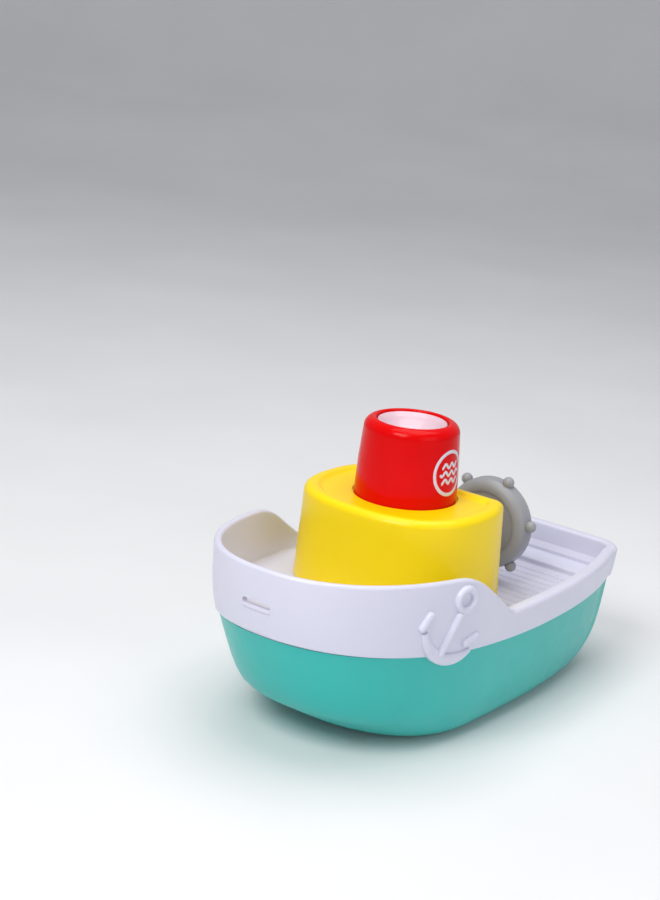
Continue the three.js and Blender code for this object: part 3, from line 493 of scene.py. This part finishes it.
def rail_z(x):
    """Top of the bulwark: high at the bow, then a slope down to the low rail aft."""
    high = HIGH_RAIL_Z + (HIGH_RAIL_BOW_Z - HIGH_RAIL_Z) * (x - NOTCH_TOP_X) / (BOW_X - NOTCH_TOP_X)
    slope = LOW_RAIL_Z + (x - NOTCH_FOOT_X) * (HIGH_RAIL_Z - LOW_RAIL_Z) / (NOTCH_TOP_X - NOTCH_FOOT_X)
    return -smooth_min(-smooth_min(high, slope, 7.0), -LOW_RAIL_Z, 3.0)


def blended(lines_a, lines_b, share):
    """Plan lines part of the way from one set to another."""
    return tuple(a + (b - a) * share for a, b in zip(lines_a, lines_b))


def band_lines(z, seam):
    """Lines of the white band at a height: it flares above the seam, then stands nearly upright."""
    share = min(max((z - seam) / (TOP_Z - seam), 0.0), 1.0)
    return blended(BAND_SEAM, BAND_TOP, 1 - (1 - share) ** 3)


def plan_point(lines, part, share):
    """A port-side point: part is bow, side, corner or transom, and share runs along that part."""
    bow, beam, stern, stern_half, corner = lines
    length = BEAM_X - stern
    corner_x = stern + corner

    def side_y(x):
        return beam - (beam - stern_half) * ((BEAM_X - x) / length) ** 3

    if part == "bow":
        angle = share * math.pi / 2
        x = BEAM_X + (bow - BEAM_X) * math.cos(angle) ** (2 / PLAN_POWER)
        return x, beam * math.sin(angle) ** (2 / PLAN_POWER)
    if part == "side":
        x = BEAM_X + (corner_x - BEAM_X) * share
        return x, side_y(x)
    corner_y = side_y(corner_x) - corner
    if part == "corner":
        angle = share * math.pi / 2
        return corner_x - corner * math.sin(angle), corner_y + corner * math.cos(angle)
    return stern, corner_y * (1 - share)


def stations():
    """Places round the port side where a section is drawn, from the stem to mid-transom."""
    places = [("bow", i / BOW_STEPS) for i in range(BOW_STEPS + 1)]
    shares = [i / SIDE_STEPS for i in range(1, SIDE_STEPS + 1)] + STEP_SHARES
    places += [("side", share) for share in sorted(shares)]
    places += [("corner", i / CORNER_STEPS) for i in range(1, CORNER_STEPS + 1)]
    places += [("transom", i / TRANSOM_STEPS) for i in range(1, TRANSOM_STEPS + 1)]
    return places


def round_the_boat(half):
    """Mirrors sections drawn on the port side, so that they run all the way round."""
    starboard = [[(x, -y, z) for x, y, z in section] for section in half[1:-1]]
    return half + starboard[::-1]


# ---- Lower hull ----
def curve_through(values, position):
    """Catmull-Rom value at a position along equally spaced values."""
    index = min(int(position), len(values) - 2)
    t = position - index
    a = values[max(index - 1, 0)]
    b, c = values[index], values[index + 1]
    d = values[min(index + 2, len(values) - 1)]
    square = 2 * a - 5 * b + 4 * c - d
    cube = 3 * b - a - 3 * c + d
    return 0.5 * (2 * b + (c - a) * t + square * t**2 + cube * t**3)


def hull_section(place, inset, floor, top_offset):
    """Points up the hull at one place, from the bottom to the seam."""
    part, share = place
    section = []
    for step in range(HULL_LEVELS + 1):
        position = len(HULL_LINES) * step / HULL_LEVELS
        lines = []
        for k in range(5):
            values = [level[1][k] for level in HULL_LINES] + [HULL_SEAM[k]]
            lines.append(curve_through(values, position))
        signs = (-1, -1, 1, -1, -1)
        lines = [value + sign * inset for value, sign in zip(lines, signs)]
        x, y = plan_point(lines, part, share)
        heights = [level[0] for level in HULL_LINES] + [seam_z(x) + top_offset - floor]
        section.append((x, y, max(curve_through(heights, position), 0.0) + floor))
    return section


def hull_solid(name, inset, floor, top_offset):
    """A closed body between the hull's bottom and its seam, in levels that run all round."""
    sections = round_the_boat([hull_section(place, inset, floor, top_offset) for place in stations()])
    return stack(name, list(zip(*sections)))


def lower_hull():
    """The teal hull: hollow, with screw bosses and the holes in its bottom."""
    hull = hull_solid("lower_hull", 0.0, 0.0, HULL_TOP_RISE)
    hull.data.materials.append(TEAL)
    combine(hull, [hull_solid("inside", HULL_WALL, HULL_WALL, 0.5)], "DIFFERENCE")
    bosses = [rod("boss", BOSS_R, 10.0, 20.0, x, y) for x, y in HULL_SCREWS]
    combine(hull, bosses, "UNION")
    holes = [rod("counterbore", SCREW_HEAD_R, -1, 14, x, y) for x, y in HULL_SCREWS]
    holes += [rod("screw_hole", SCREW_HOLE_R, 13, 22, x, y) for x, y in HULL_SCREWS]
    holes += [rod("contact_hole", CONTACT_R, -1, 5, x, y) for x, y in CONTACTS]
    holes.append(rod("intake_hole", INTAKE_R, -1, 5, FUNNEL_X, 0, 72))
    holes.append(boxed("door_hole", (DOOR_X[0], -DOOR_HALF_Y, -1), (DOOR_X[1], DOOR_HALF_Y, 5)))
    holes.append(rod("ear_hole", DOOR_EAR_R, -1, 5, DOOR_SCREW_X, 0))
    combine(hull, holes, "DIFFERENCE", sharp_deg=30)
    fit_out(hull, "boat", "teal_plastic", "hull_shell")


# ---- Upper hull: bulwark, rail and decks ----
def rail_thickness(x):
    """Thickness of the bulwark: wide at the low rail aft, thinner along the high part."""
    share = min(max((x - NOTCH_FOOT_X + 4) / 22, 0.0), 1.0)
    share = share * share * (3 - 2 * share)
    return AFT_RAIL_WALL + (FORE_RAIL_WALL - AFT_RAIL_WALL) * share


def wall_foot_depth(thick):
    """How far the foot of the wall stands in from its top: most along the low rail, nothing at the bow."""
    return AFT_WALL_FOOT * (thick - FORE_RAIL_WALL) / (AFT_RAIL_WALL - FORE_RAIL_WALL)


def outward(place, lines):
    """Outward normal of the plan at a place."""
    part, share = place
    step = 0.002
    x0, y0 = plan_point(lines, part, max(share - step, 0.0))
    x1, y1 = plan_point(lines, part, min(share + step, 1.0))
    nx, ny = y1 - y0, -(x1 - x0)
    if part == "bow" and share == 0.0:
        return 1.0, 0.0
    if part == "transom":
        return -1.0, 0.0
    length = math.hypot(nx, ny) or 1.0
    return nx / length, ny / length


def rim_section(place):
    """Closed section of the band: outer face, round lip, inner face, fillet at the deck, underside."""
    part, share = place
    x_here = plan_point(BAND_TOP, part, share)[0]
    low = seam_z(x_here) + SEAM_GAP
    rail = rail_z(x_here)
    deck = FORE_DECK_Z if x_here > NOTCH_FOOT_X else AFT_DECK_Z
    thick = rail_thickness(x_here)
    outer_r = LIP_R + (thick - FORE_RAIL_WALL) * 0.35
    inner_r = min(LIP_R, max(rail - deck, 0.6))
    wall_top = rail - inner_r
    fillet = min(DECK_FILLET, max(wall_top - deck, 0.1))
    top_x, top_y = plan_point(band_lines(rail, low), part, share)
    nx, ny = outward(place, BAND_TOP)
    section = []
    for step in range(12):
        z = low + (rail - outer_r - low) * (step / 11) ** 1.6
        x, y = plan_point(band_lines(z, low), part, share)
        tuck = SEAM_TUCK if step == 0 else 0.0
        section.append((x - nx * tuck, y - ny * tuck, z))
    profile = arc(outer_r, rail - outer_r, outer_r, 165, 90, 5)
    profile += arc(thick - inner_r, wall_top, inner_r, 90, 0, 5)
    wall_foot = deck + fillet
    foot = wall_foot_depth(thick)
    bend = AFT_FOOT_Z
    if x_here > NOTCH_FOOT_X:
        bend = [wall_foot + (wall_top - wall_foot) * rise for rise in (0.35, 0.65)]
    profile += [(thick, (wall_top + bend[1]) / 2), (thick, bend[1]), (thick + foot, bend[0])]
    thick += foot
    for i in range(6):
        a = math.radians(18 * i)
        profile.append((thick + fillet - fillet * math.cos(a), wall_foot - fillet * math.sin(a) - 0.03))
    underside = min(low, deck) - SPIGOT_DROP
    spigot_in, spigot_out, shelf = SPIGOT_DEPTHS
    profile += [(thick + fillet, deck - 2.2), (spigot_in, underside), (spigot_out, underside)]
    profile.append((shelf, low))
    for depth, z in profile:
        section.append((top_x - nx * depth, top_y - ny * depth, z))
    return section


def inner_line(depth):
    """The port inner face of the bulwark in plan, this deep inside the rail's outer edge."""
    line = []
    for place in stations():
        x_here = plan_point(BAND_TOP, *place)[0]
        lines = band_lines(rail_z(x_here), seam_z(x_here))
        x, y = plan_point(lines, *place)
        nx, ny = outward(place, BAND_TOP)
        thick = rail_thickness(x_here)
        reach = thick + wall_foot_depth(thick) + depth
        line.append((x - nx * reach, max(y - ny * reach, 0.0)))
    return line


def half_width(line, x):
    """Half-width of a plan line at a station x."""
    for (x0, y0), (x1, y1) in zip(line, line[1:]):
        if x1 <= x <= x0 and x0 > x1:
            return y0 + (y1 - y0) * (x0 - x) / (x0 - x1)
    return 0.0


def floor_plate(name, rows, underside, tuck):
    """A closed deck plate. Its top follows rows of (x, z), and tuck is how far its edges reach outwards
    past the inner face of the bulwark."""
    line = inner_line(-tuck)
    columns = 12
    width = columns + 1
    points = []
    for level in (0, 1):
        for x, z in rows:
            half = half_width(line, x)
            height = underside if level else z
            points += [(x, half * (2 * c / columns - 1), height) for c in range(width)]
    count = len(rows)
    base = count * width
    faces = grid_faces(count, width)
    faces += [tuple(base + v for v in reversed(face)) for face in grid_faces(count, width)]
    rim = list(range(width))
    rim += [r * width + columns for r in range(1, count)]
    rim += [(count - 1) * width + c for c in range(columns - 1, -1, -1)]
    rim += [r * width for r in range(count - 2, 0, -1)]
    for a, b in zip(rim, rim[1:] + rim[:1]):
        faces.append((b, a, base + a, base + b))
    return piece(name, points, faces, WHITE, sharp_deg=50)


def deck_rows():
    """Top of the aft deck from its front edge aft: planks with fine grooves, then the raised bench."""
    rows = [(NOTCH_FOOT_X + 0.6, AFT_DECK_Z)]
    groove = [(GROOVE_HALF, 0.0), (0.2, -GROOVE_DEPTH), (-0.2, -GROOVE_DEPTH), (-GROOVE_HALF, 0.0)]
    x = FIRST_GROOVE_X
    while x > BENCH_X + 3:
        rows += [(x + dx, AFT_DECK_Z + dz) for dx, dz in groove]
        x -= PLANK_PITCH
    rows += [(x, AFT_DECK_Z + z) for x, z in arc(BENCH_X + 1.2, 1.2, 1.2, 270, 180, 4)]
    rows += [(x, BENCH_Z + z) for x, z in arc(BENCH_X - 1.0, -1.0, 1.0, 0, 90, 4)]
    rows += [(BENCH_X - 3 - 2 * i, BENCH_Z) for i in range(7)]
    return rows + [(STERN_X + 5.6, BENCH_Z)]


def upper_hull():
    """The white moulding: the band with its rail and bow slot, the two decks and the step between them."""
    half = [rim_section(place) for place in stations()]
    sections = round_the_boat(half)
    count, width = len(sections), len(sections[0])
    points = [point for section in sections for point in section]
    faces = grid_faces(count, width, wrap_rows=True, wrap_columns=True)
    rim = piece("upper_hull_band", points, faces, WHITE, sharp_deg=32)
    radius = (SLOT_Z[1] - SLOT_Z[0]) / 2
    end_y = SLOT_HALF_Y - radius
    slot_parts = [boxed("slot", (100, -end_y, SLOT_Z[0]), (125, end_y, SLOT_Z[1]))]
    for y in (-end_y, end_y):
        slot_parts.append(along_x("slot_end", radius, 100, 125, y, SLOT_Z[0] + radius))
    combine(rim, slot_parts, "DIFFERENCE", sharp_deg=32)
    fit_out(rim, "boat", "white_plastic", "deck_shell")

    aft = floor_plate("aft_deck_planks", deck_rows(), AFT_DECK_Z - DECK_PLATE, tuck=2.0)
    fore_rows = [(x, FORE_DECK_Z + z) for x, z in arc(NOTCH_FOOT_X + 0.8, -0.8, 0.8, 180, 90, 4)]
    fore_rows += [(NOTCH_FOOT_X + 1 + i * 4.4, FORE_DECK_Z) for i in range(1, 23)]
    fore_rows.append((110.4, FORE_DECK_Z))
    fore = floor_plate("fore_deck", fore_rows, FORE_DECK_Z - FORE_PLATE, tuck=-0.9)
    riser_rows = [(NOTCH_FOOT_X + reach, FORE_DECK_Z - 0.5) for reach in (0.05, DECK_PLATE)]
    riser = floor_plate("deck_riser", riser_rows, AFT_DECK_Z - DECK_PLATE, tuck=2.5)
    for floor in (aft, fore, riser):
        combine(floor, [boxed("way_down", *WAY_DOWN)], "DIFFERENCE")
        fit_out(floor, "boat", "white_plastic")


# ---- Raised anchor on each side ----
def band_half_beam(x, z):
    """Half-beam of the white band at a point on its side."""
    lines = band_lines(z, seam_z(x))
    if x <= BEAM_X:
        share = min((BEAM_X - x) / (BEAM_X - BAND_CORNER_X), 1.0)
        return plan_point(lines, "side", share)[1]
    bow, beam = lines[:2]
    return beam * (1 - ((x - BEAM_X) / (bow - BEAM_X)) ** PLAN_POWER) ** (1 / PLAN_POWER)


def on_side(u, v, height, side):
    """A point of the anchor's drawing, u aft to fore and v upwards, this high off the hull's side."""
    x = ANCHOR_X + u * math.cos(ANCHOR_LEAN) - v * math.sin(ANCHOR_LEAN)
    z = ANCHOR_Z + u * math.sin(ANCHOR_LEAN) + v * math.cos(ANCHOR_LEAN)
    y = band_half_beam(x, z)
    slope_x = band_half_beam(x + 0.5, z) - band_half_beam(x - 0.5, z)
    slope_z = band_half_beam(x, z + 0.5) - band_half_beam(x, z - 0.5)
    normal = Vector((-slope_x, 1.0, -slope_z)).normalized()
    return (x + normal.x * height, side * (y + normal.y * height), z + normal.z * height)


def relief(name, line, widths, side, closed=False, height=RELIEF):
    """A rounded raised bar along a drawn line, with its root inside the hull's wall."""
    shape = [(-1.0, RELIEF_ROOT), (-1.0, 0.35 * height)]
    for i in range(1, 10):
        a = math.pi * i / 10
        shape.append((-math.cos(a) * 0.98, (0.35 + 0.65 * math.sin(a)) * height))
    shape += [(1.0, 0.35 * height), (1.0, RELIEF_ROOT)]
    count = len(line)
    points = []
    for i, ((u, v), width) in enumerate(zip(line, widths)):
        across = across_line(line, i, closed)
        for sideways, lift in shape:
            raised = lift if lift < 0 else lift * min(1.0, 0.25 + width / max(widths))
            reach = sideways * width
            points.append(on_side(u + across[0] * reach, v + across[1] * reach, raised, side))
    faces = grid_faces(count, len(shape), wrap_rows=closed, wrap_columns=True)
    if not closed:
        faces += end_caps(count, len(shape))
    return piece(name, points, faces, WHITE, sharp_deg=55)


def rounded_bar(start, end, half, steps=18):
    """A straight line and widths for a bar with round ends."""
    line, widths = [], []
    length = math.dist(start, end)
    for i in range(steps + 1):
        along = 0.5 - 0.5 * math.cos(math.pi * i / steps)
        reach = min(along, 1 - along) * length
        share = min(reach / half, 1.0)
        line.append((start[0] + (end[0] - start[0]) * along, start[1] + (end[1] - start[1]) * along))
        widths.append(max(half * math.sqrt(1 - (1 - share) ** 2), 0.12))
    return line, widths


def anchor(side):
    """A plain anchor: a fat ring, a shank, a crescent of two arms and a bar across the end of each."""
    word = "port" if side > 0 else "starboard"
    around = [2 * math.pi * i / 48 for i in range(48)]
    ring = [(RING_R[0] * math.cos(a), RING_R[1] * math.sin(a)) for a in around]
    parts = [relief("anchor_ring", ring, [RING_HALF] * 48, side, closed=True)]
    shank = rounded_bar((0, 0.6 - RING_R[1] - RING_HALF), (0, SHANK_END), SHANK_HALF)
    parts.append(relief("anchor_shank", *shank, side))
    turns = [i / 20 - 1 for i in range(41)]
    sweep = [math.radians(-90 + ARM_SWEEP_DEG * turn) for turn in turns]
    arms = [(ARM_CENTRE[0] + ARM_R * math.cos(a), ARM_CENTRE[1] + ARM_R * math.sin(a)) for a in sweep]
    widths = [ARM_HALF * (0.5 + 0.5 * math.cos(math.radians(90 * turn))) for turn in turns]
    parts.append(relief("anchor_arms", arms, widths, side, height=ARM_RELIEF))
    for top, foot in FLUKES:
        parts.append(relief("anchor_fluke", *rounded_bar(top, foot, FLUKE_HALF), side))
    whole = combine(parts[0], parts[1:], "UNION", sharp_deg=50)
    whole.name = "anchor_" + word
    fit_out(whole, "boat", "white_plastic")


def slot_lip():
    """The small raised lip under the slot in the bow."""
    steps, sides, radius = 24, 16, 0.95
    z = SLOT_Z[0] - 0.7
    bow, beam = band_lines(z, seam_z(BOW_X))[:2]
    points = []
    for i in range(steps + 1):
        y = (2 * i / steps - 1) * (SLOT_HALF_Y + 0.4)
        end = SLOT_HALF_Y + 0.4 - abs(y)
        r = radius * math.sqrt(1 - (1 - min(end / radius, 1.0)) ** 2) + 0.05
        x = BEAM_X + (bow - BEAM_X) * (1 - (abs(y) / beam) ** PLAN_POWER) ** (1 / PLAN_POWER) - 0.35
        turn = [2 * math.pi * k / sides for k in range(sides)]
        points += [(x + r * math.cos(a), y, z + r * math.sin(a)) for a in turn]
    faces = grid_faces(steps + 1, sides, wrap_columns=True) + end_caps(steps + 1, sides)
    lip = piece("bow_slot_lip", points, faces, WHITE)
    fit_out(lip, "boat", "white_plastic")


# ---- Cabin ----
def cabin_loop(grow, z, steps=64):
    """The cabin's plan at a height, grown by an amount: an oval cut short by the flat aft wall."""
    front = CABIN_FRONT_X - FUNNEL_X + grow
    half = CABIN_HALF + grow
    aft = CABIN_AFT_X - grow
    corner = max(CABIN_CORNER + grow, 1.5)
    power = 2 / CABIN_POWER

    def side_half(x):
        share = (FUNNEL_X - x) / (CABIN_OVAL_AFT + grow)
        return half * (1 - share**CABIN_POWER) ** (1 / CABIN_POWER)

    port = []
    for i in range(steps + 1):
        angle = math.pi / 2 * i / steps
        x = FUNNEL_X + front * max(math.cos(angle), 0.0) ** power
        port.append((x, half * math.sin(angle) ** power))
    corner_x = aft + corner
    for i in range(1, 12):
        x = FUNNEL_X + (corner_x - FUNNEL_X) * i / 12
        port.append((x, side_half(x)))
    corner_y = side_half(corner_x) - corner
    for i in range(9):
        angle = math.pi / 2 * i / 8
        port.append((corner_x - corner * math.sin(angle), corner_y + corner * math.cos(angle)))
    for i in range(1, 9):
        port.append((aft, corner_y * (1 - i / 8)))
    starboard = [(x, -y) for x, y in port[1:-1]]
    return [(x, y, z) for x, y in port + starboard[::-1]]


def cabin():
    """The yellow cabin: a hollow shell with a sunk roof, cut to the step in the deck and to the funnel."""
    low = AFT_DECK_Z + 0.3
    round_r = CABIN_ROOF_ROUND
    profile = [(CABIN_DRAFT, low), (CABIN_DRAFT * 0.55, low + 22)]
    shoulder = arc(0.1, ROOF_RIM_Z - round_r, round_r, 0, 90, 8)
    profile += [(offset - round_r, z) for offset, z in shoulder]
    profile += [(-round_r - 1.6, ROOF_RIM_Z)]
    profile += [(-round_r - 2.2, ROOF_RIM_Z - 0.12), (-round_r - 2.9, ROOF_RIM_Z - 0.7)]
    profile += [(-round_r - 3.6, ROOF_Z + 0.1), (-round_r - 4.4, ROOF_Z)]
    shell = stack("cabin", [cabin_loop(grow, z) for grow, z in profile], YELLOW, 45)
    inside = [(CABIN_DRAFT - CABIN_WALL, low - 5), (-CABIN_WALL, ROOF_Z - 5), (-5, ROOF_Z - 2.5)]
    room = stack("room", [cabin_loop(grow, z) for grow, z in inside])
    step = boxed("step", (NOTCH_FOOT_X - 0.3, -60, 0), (100, 60, FORE_DECK_Z + 0.3))
    socket = rod("socket", FUNNEL_BASE_R + SOCKET_GAP, ROOF_Z - 1, ROOF_Z + 5, FUNNEL_X, 0, 96)
    riser = rod("riser", 9, ROOF_Z - 8, ROOF_Z + 5, FUNNEL_X, 0)
    combine(shell, [room, step, socket, riser], "DIFFERENCE", sharp_deg=45)
    fit_out(shell, "boat", "yellow_plastic", "cabin_shell")


# ---- Funnel, its emblem and the nozzle ----
def funnel():
    """The red funnel: a hollow taper with a thick round shoulder that turns into the mouth."""
    foot = FUNNEL_FOOT_Z
    top = FUNNEL_TOP_Z
    round_r = FUNNEL_SHOULDER
    profile = [(FUNNEL_BASE_R - FUNNEL_WALL, foot), (FUNNEL_BASE_R, foot)]
    profile.append((FUNNEL_BASE_R - 0.6, foot + FUNNEL_BEND_RISE))
    profile += arc(FUNNEL_TOP_R - round_r + 0.2, top - round_r, round_r, 0, 90, 12)
    profile += arc(16.5, top - 0.9, 0.9, 90, 180, 4)
    profile += [(15.5, top - 3.6), (18.4, top - 4.2), (19.0, top - 7)]
    profile.append(profile[0])
    shell = lathe("funnel", profile, RED, centre=(FUNNEL_X, 0, 0), segments=128)
    fit_out(shell, "boat", "red_plastic", "funnel_shell")


def funnel_radius(z):
    """Outside radius of the funnel's side at a height."""
    low, high = FUNNEL_FOOT_Z, FUNNEL_TOP_Z - FUNNEL_SHOULDER
    share = min(max((z - low) / (high - low), 0.0), 1.0)
    if share < 0.48:
        return FUNNEL_BASE_R - 0.6 * share / 0.48
    return FUNNEL_BASE_R - 0.6 - (FUNNEL_BASE_R - 0.8 - FUNNEL_TOP_R) * (share - 0.48) / 0.52


def on_funnel(u, v, height):
    """A point of the emblem's drawing, wrapped round the funnel, this high off its side."""
    radius = funnel_radius(EMBLEM_Z + v) + height
    angle = EMBLEM_AZIMUTH + u / FUNNEL_BASE_R
    return (FUNNEL_X + radius * math.cos(angle), radius * math.sin(angle), EMBLEM_Z + v)


def emblem_band(name, line, half, closed=False):
    """A flat raised stripe along a drawn line on the funnel."""
    shape = ((-1, -0.2), (-1, 0.1), (-0.8, 0.16), (0.8, 0.16), (1, 0.1), (1, -0.2))
    count = len(line)
    points = []
    for i, (u, v) in enumerate(line):
        across_u, across_v = across_line(line, i, closed)
        for sideways, lift in shape:
            reach = sideways * half
            points.append(on_funnel(u + across_u * reach, v + across_v * reach, lift))
    faces = grid_faces(count, len(shape), wrap_rows=closed, wrap_columns=True)
    if not closed:
        faces += end_caps(count, len(shape))
    return piece(name, points, faces, WHITE, 60)


def emblem():
    """A plain ring round three waves."""
    around = [2 * math.pi * i / 72 for i in range(72)]
    ring = [(EMBLEM_R * math.cos(a), EMBLEM_R * math.sin(a)) for a in around]
    fit_out(emblem_band("emblem_ring", ring, EMBLEM_RING_HALF, closed=True), "boat", "white_plastic")
    for row, reach in WAVES:
        wave = []
        for i in range(41):
            u = reach * (i / 20 - 1)
            wave.append((u, row + WAVE_LIFT * math.sin(2 * math.pi * u / WAVE_LENGTH)))
        fit_out(emblem_band("emblem_wave", wave, WAVE_HALF), "boat", "white_plastic")


def nozzle():
    """The spray dish: a cone that lines the funnel's mouth, with a small raised jet in the middle."""
    flange = FUNNEL_TOP_Z - DISH_DROP
    rim = FUNNEL_TOP_Z - 0.8
    profile = [(1.2, flange - 11), (4.6, flange - 11), (4.6, flange - 6.6), (13.6, flange - 1.9)]
    profile += [(18, flange - 1.9), (18, flange - 0.2)]
    profile += [(DISH_RIM_R, flange - 0.2), (DISH_RIM_R, rim - 0.5)]
    profile += arc(DISH_RIM_R - 0.5, rim - 0.5, 0.5, 0, 120, 5)
    cone = [(13.6, 0.9), (12.9, 1.2), (12.3, 2.0), (8.9, 5.1), (8.3, 5.3), (7.7, 5.9)]
    profile += [(radius, rim - drop) for radius, drop in cone]
    jet = [(5.8, 4.2), (5.0, 4.4), (4.0, 4.2), (3.4, 3.4), (2.8, 3.0), (1.5, 2.95), (1.2, 3.2)]
    profile += [(radius, flange - drop) for radius, drop in jet]
    profile.append(profile[0])
    # The dish's pale colour is its own; its pink tint is painted reflection of the red funnel.
    dish = lathe("spray_dish", profile, PALE_WITH_PAINTED_RED_REFLECTION, centre=(FUNNEL_X, 0, 0), segments=96)
    fit_out(dish, "boat", "pink_plastic", "nozzle_dish")


# ---- Ship's wheel ----
def ships_wheel():
    """The wheel: a thick round rim, a dished face, a recessed back, a hub and knobs round the edge."""
    front, back = WHEEL_X + WHEEL_HALF, WHEEL_X - WHEEL_HALF
    rim_in = WHEEL_R - 5.0
    profile = [(2.3, front - 2.2), (2.3, back), (5.2, back), (5.6, back + 0.3), (6.0, back + 1.3)]
    profile += [(rim_in, back + 1.3), (rim_in + 0.4, back + 0.3), (rim_in + 0.9, back)]
    profile += [(WHEEL_R - 1.6, back)]
    profile += arc(WHEEL_R - 1.6, back + 1.6, 1.6, -90, 0, 5)
    profile += arc(WHEEL_R - 4.2, front - 4.2, 4.2, 0, 90, 10)
    profile += [(WHEEL_R - inset, front - drop) for inset, drop in ((5.2, 0.2), (6.0, 1.0), (6.6, 2.1))]
    hub = [(6.4, 2.3), (5.6, 1.8), (5.2, 0.9), (4.6, 0.6), (2.8, 0.6)]
    profile += [(radius, front - drop) for radius, drop in hub]
    profile.append(profile[0])
    wheel = lathe("ships_wheel_rim", profile, GREY, "X", (0, 0, WHEEL_Z), 128)
    knobs = []
    for i in range(KNOB_COUNT):
        angle = math.radians(KNOB_START_DEG + 360 / KNOB_COUNT * i)
        y = KNOB_CIRCLE_R * math.cos(angle)
        z = WHEEL_Z + KNOB_CIRCLE_R * math.sin(angle)
        ball = arc(0, 0, KNOB_R, -90, 90, 16)
        knobs.append(lathe("knob", ball, None, "X", (WHEEL_X - 0.6, y, z), 32))
    combine(wheel, knobs, "UNION", sharp_deg=50)
    fit_out(wheel, "wheel", "grey_plastic", "ships_wheel")


def pedestal():
    """The wheel's stand: an upright slab with an arched top, softened edges and a foot flange."""
    x0, x1 = STAND_X
    half = STAND_HALF
    foot = [(half + 1.2, AFT_DECK_Z + 0.3), (half + 1.2, AFT_DECK_Z + 2.3)]
    foot += [(half, AFT_DECK_Z + 3.5), (half, WHEEL_Z - 3)]
    outline = [(-y, z) for y, z in foot]
    outline += arc(0, WHEEL_Z, half, 180, 0, 24)
    outline += foot[::-1]
    softened = [(x0, 0.9), (x0 + 0.25, 0.35), (x0 + 0.9, 0.0)]
    softened += [(x1 - 0.9, 0.0), (x1 - 0.25, 0.35), (x1, 0.9)]
    rows = []
    for x, shrink in softened:
        scale = 1 - shrink / half
        for y, z in outline:
            height = WHEEL_Z + (z - WHEEL_Z) * scale if z > WHEEL_Z else z
            rows.append((x, y * scale, height))
    count, width = len(softened), len(outline)
    faces = grid_faces(count, width, wrap_columns=True) + end_caps(count, width)
    stand = piece("wheel_stand", rows, faces, WHITE, 50)
    combine(stand, [along_x("bore", STAND_BORE_R, x0 - 2, x1 + 2, 0, WHEEL_Z)], "DIFFERENCE", 40)
    fit_out(stand, "boat", "white_plastic", "wheel_pedestal")


# ---- Stage, light and camera ----
def stage():
    """A pale floor that curves up into a backdrop, and an even, slightly cool surround."""
    m = Nodes("floor")
    paper = m.noise(6.0, 3.0)
    tone = m.ramp(paper, 0.3, 0.7, (0.80, 0.80, 0.81, 1), (0.84, 0.84, 0.85, 1))
    m.link(tone, m.shader.inputs["Base Color"])
    m.link(m.spread(paper, 0.2, 0.8, 0.6, 0.75), m.shader.inputs["Roughness"])
    rows = []
    for reach, height in BACKDROP_PROFILE:
        rows += [(-reach * 1000, y * 1000, height * 1000 - 0.1) for y in (-3, 3)]
    backdrop = piece("backdrop", rows, grid_faces(len(BACKDROP_PROFILE), 2), m.material, 180)
    backdrop.matrix_world = Matrix.Rotation(math.radians(BACKDROP_TURN_DEG), 4, "Z")
    world = bpy.data.worlds.new("studio")
    bpy.context.scene.world = world
    world.use_nodes = True
    surround = world.node_tree.nodes["Background"]
    surround.inputs["Color"].default_value = WORLD_COLOUR
    surround.inputs["Strength"].default_value = WORLD_STRENGTH


def softbox(name, place, size, power, colour=(1, 1, 1)):
    """A square area light that faces the boat."""
    data = bpy.data.lights.new(name, "AREA")
    data.shape = "RECTANGLE"
    data.size = size
    data.size_y = size
    data.energy = power
    data.color = colour
    lamp = bpy.data.objects.new(name, data)
    bpy.context.scene.collection.objects.link(lamp)
    lamp.location = place
    lamp.rotation_euler = (Vector(place) - Vector(LIGHT_TARGET)).to_track_quat("Z", "Y").to_euler()


def lights():
    """A soft key from ahead, a fill from port and a wide light overhead."""
    softbox("key", (0.78, 0.05, 0.85), 0.5, 6.3, (1.0, 0.99, 0.97))
    softbox("fill", (0.2, 1.1, 0.5), 0.8, 2.0, (0.97, 0.98, 1.0))
    softbox("top", (-0.1, 0.0, 1.1), 0.9, 6.0)


def camera():
    """The main view, from the port bow and a little above."""
    azimuth = math.radians(VIEW_AZIMUTH_DEG)
    elevation = math.radians(VIEW_ELEVATION_DEG)
    roll = math.radians(VIEW_ROLL_DEG)
    level = math.cos(elevation)
    right = Vector((-math.sin(azimuth), math.cos(azimuth), 0))
    back = Vector((level * math.cos(azimuth), level * math.sin(azimuth), math.sin(elevation)))
    up = back.cross(right)
    rolled_right = right * math.cos(roll) + up * math.sin(roll)
    rolled_up = up * math.cos(roll) - right * math.sin(roll)
    turn = Matrix((rolled_right, rolled_up, back)).transposed().to_4x4()
    data = bpy.data.cameras.new("camera")
    data.lens = LENS
    data.sensor_width = 36.0
    data.clip_start, data.clip_end = 0.05, 20.0
    view = bpy.data.objects.new("camera", data)
    bpy.context.scene.collection.objects.link(view)
    view.matrix_world = Matrix.Translation(Vector(VIEW_PLACE) * MM) @ turn
    bpy.context.scene.camera = view


camera()
lights()
stage()
bpy.context.scene.view_settings.view_transform = "Standard"
lower_hull()
upper_hull()
anchor(1)
anchor(-1)
slot_lip()
cabin()
funnel()
emblem()
nozzle()
ships_wheel()
pedestal()
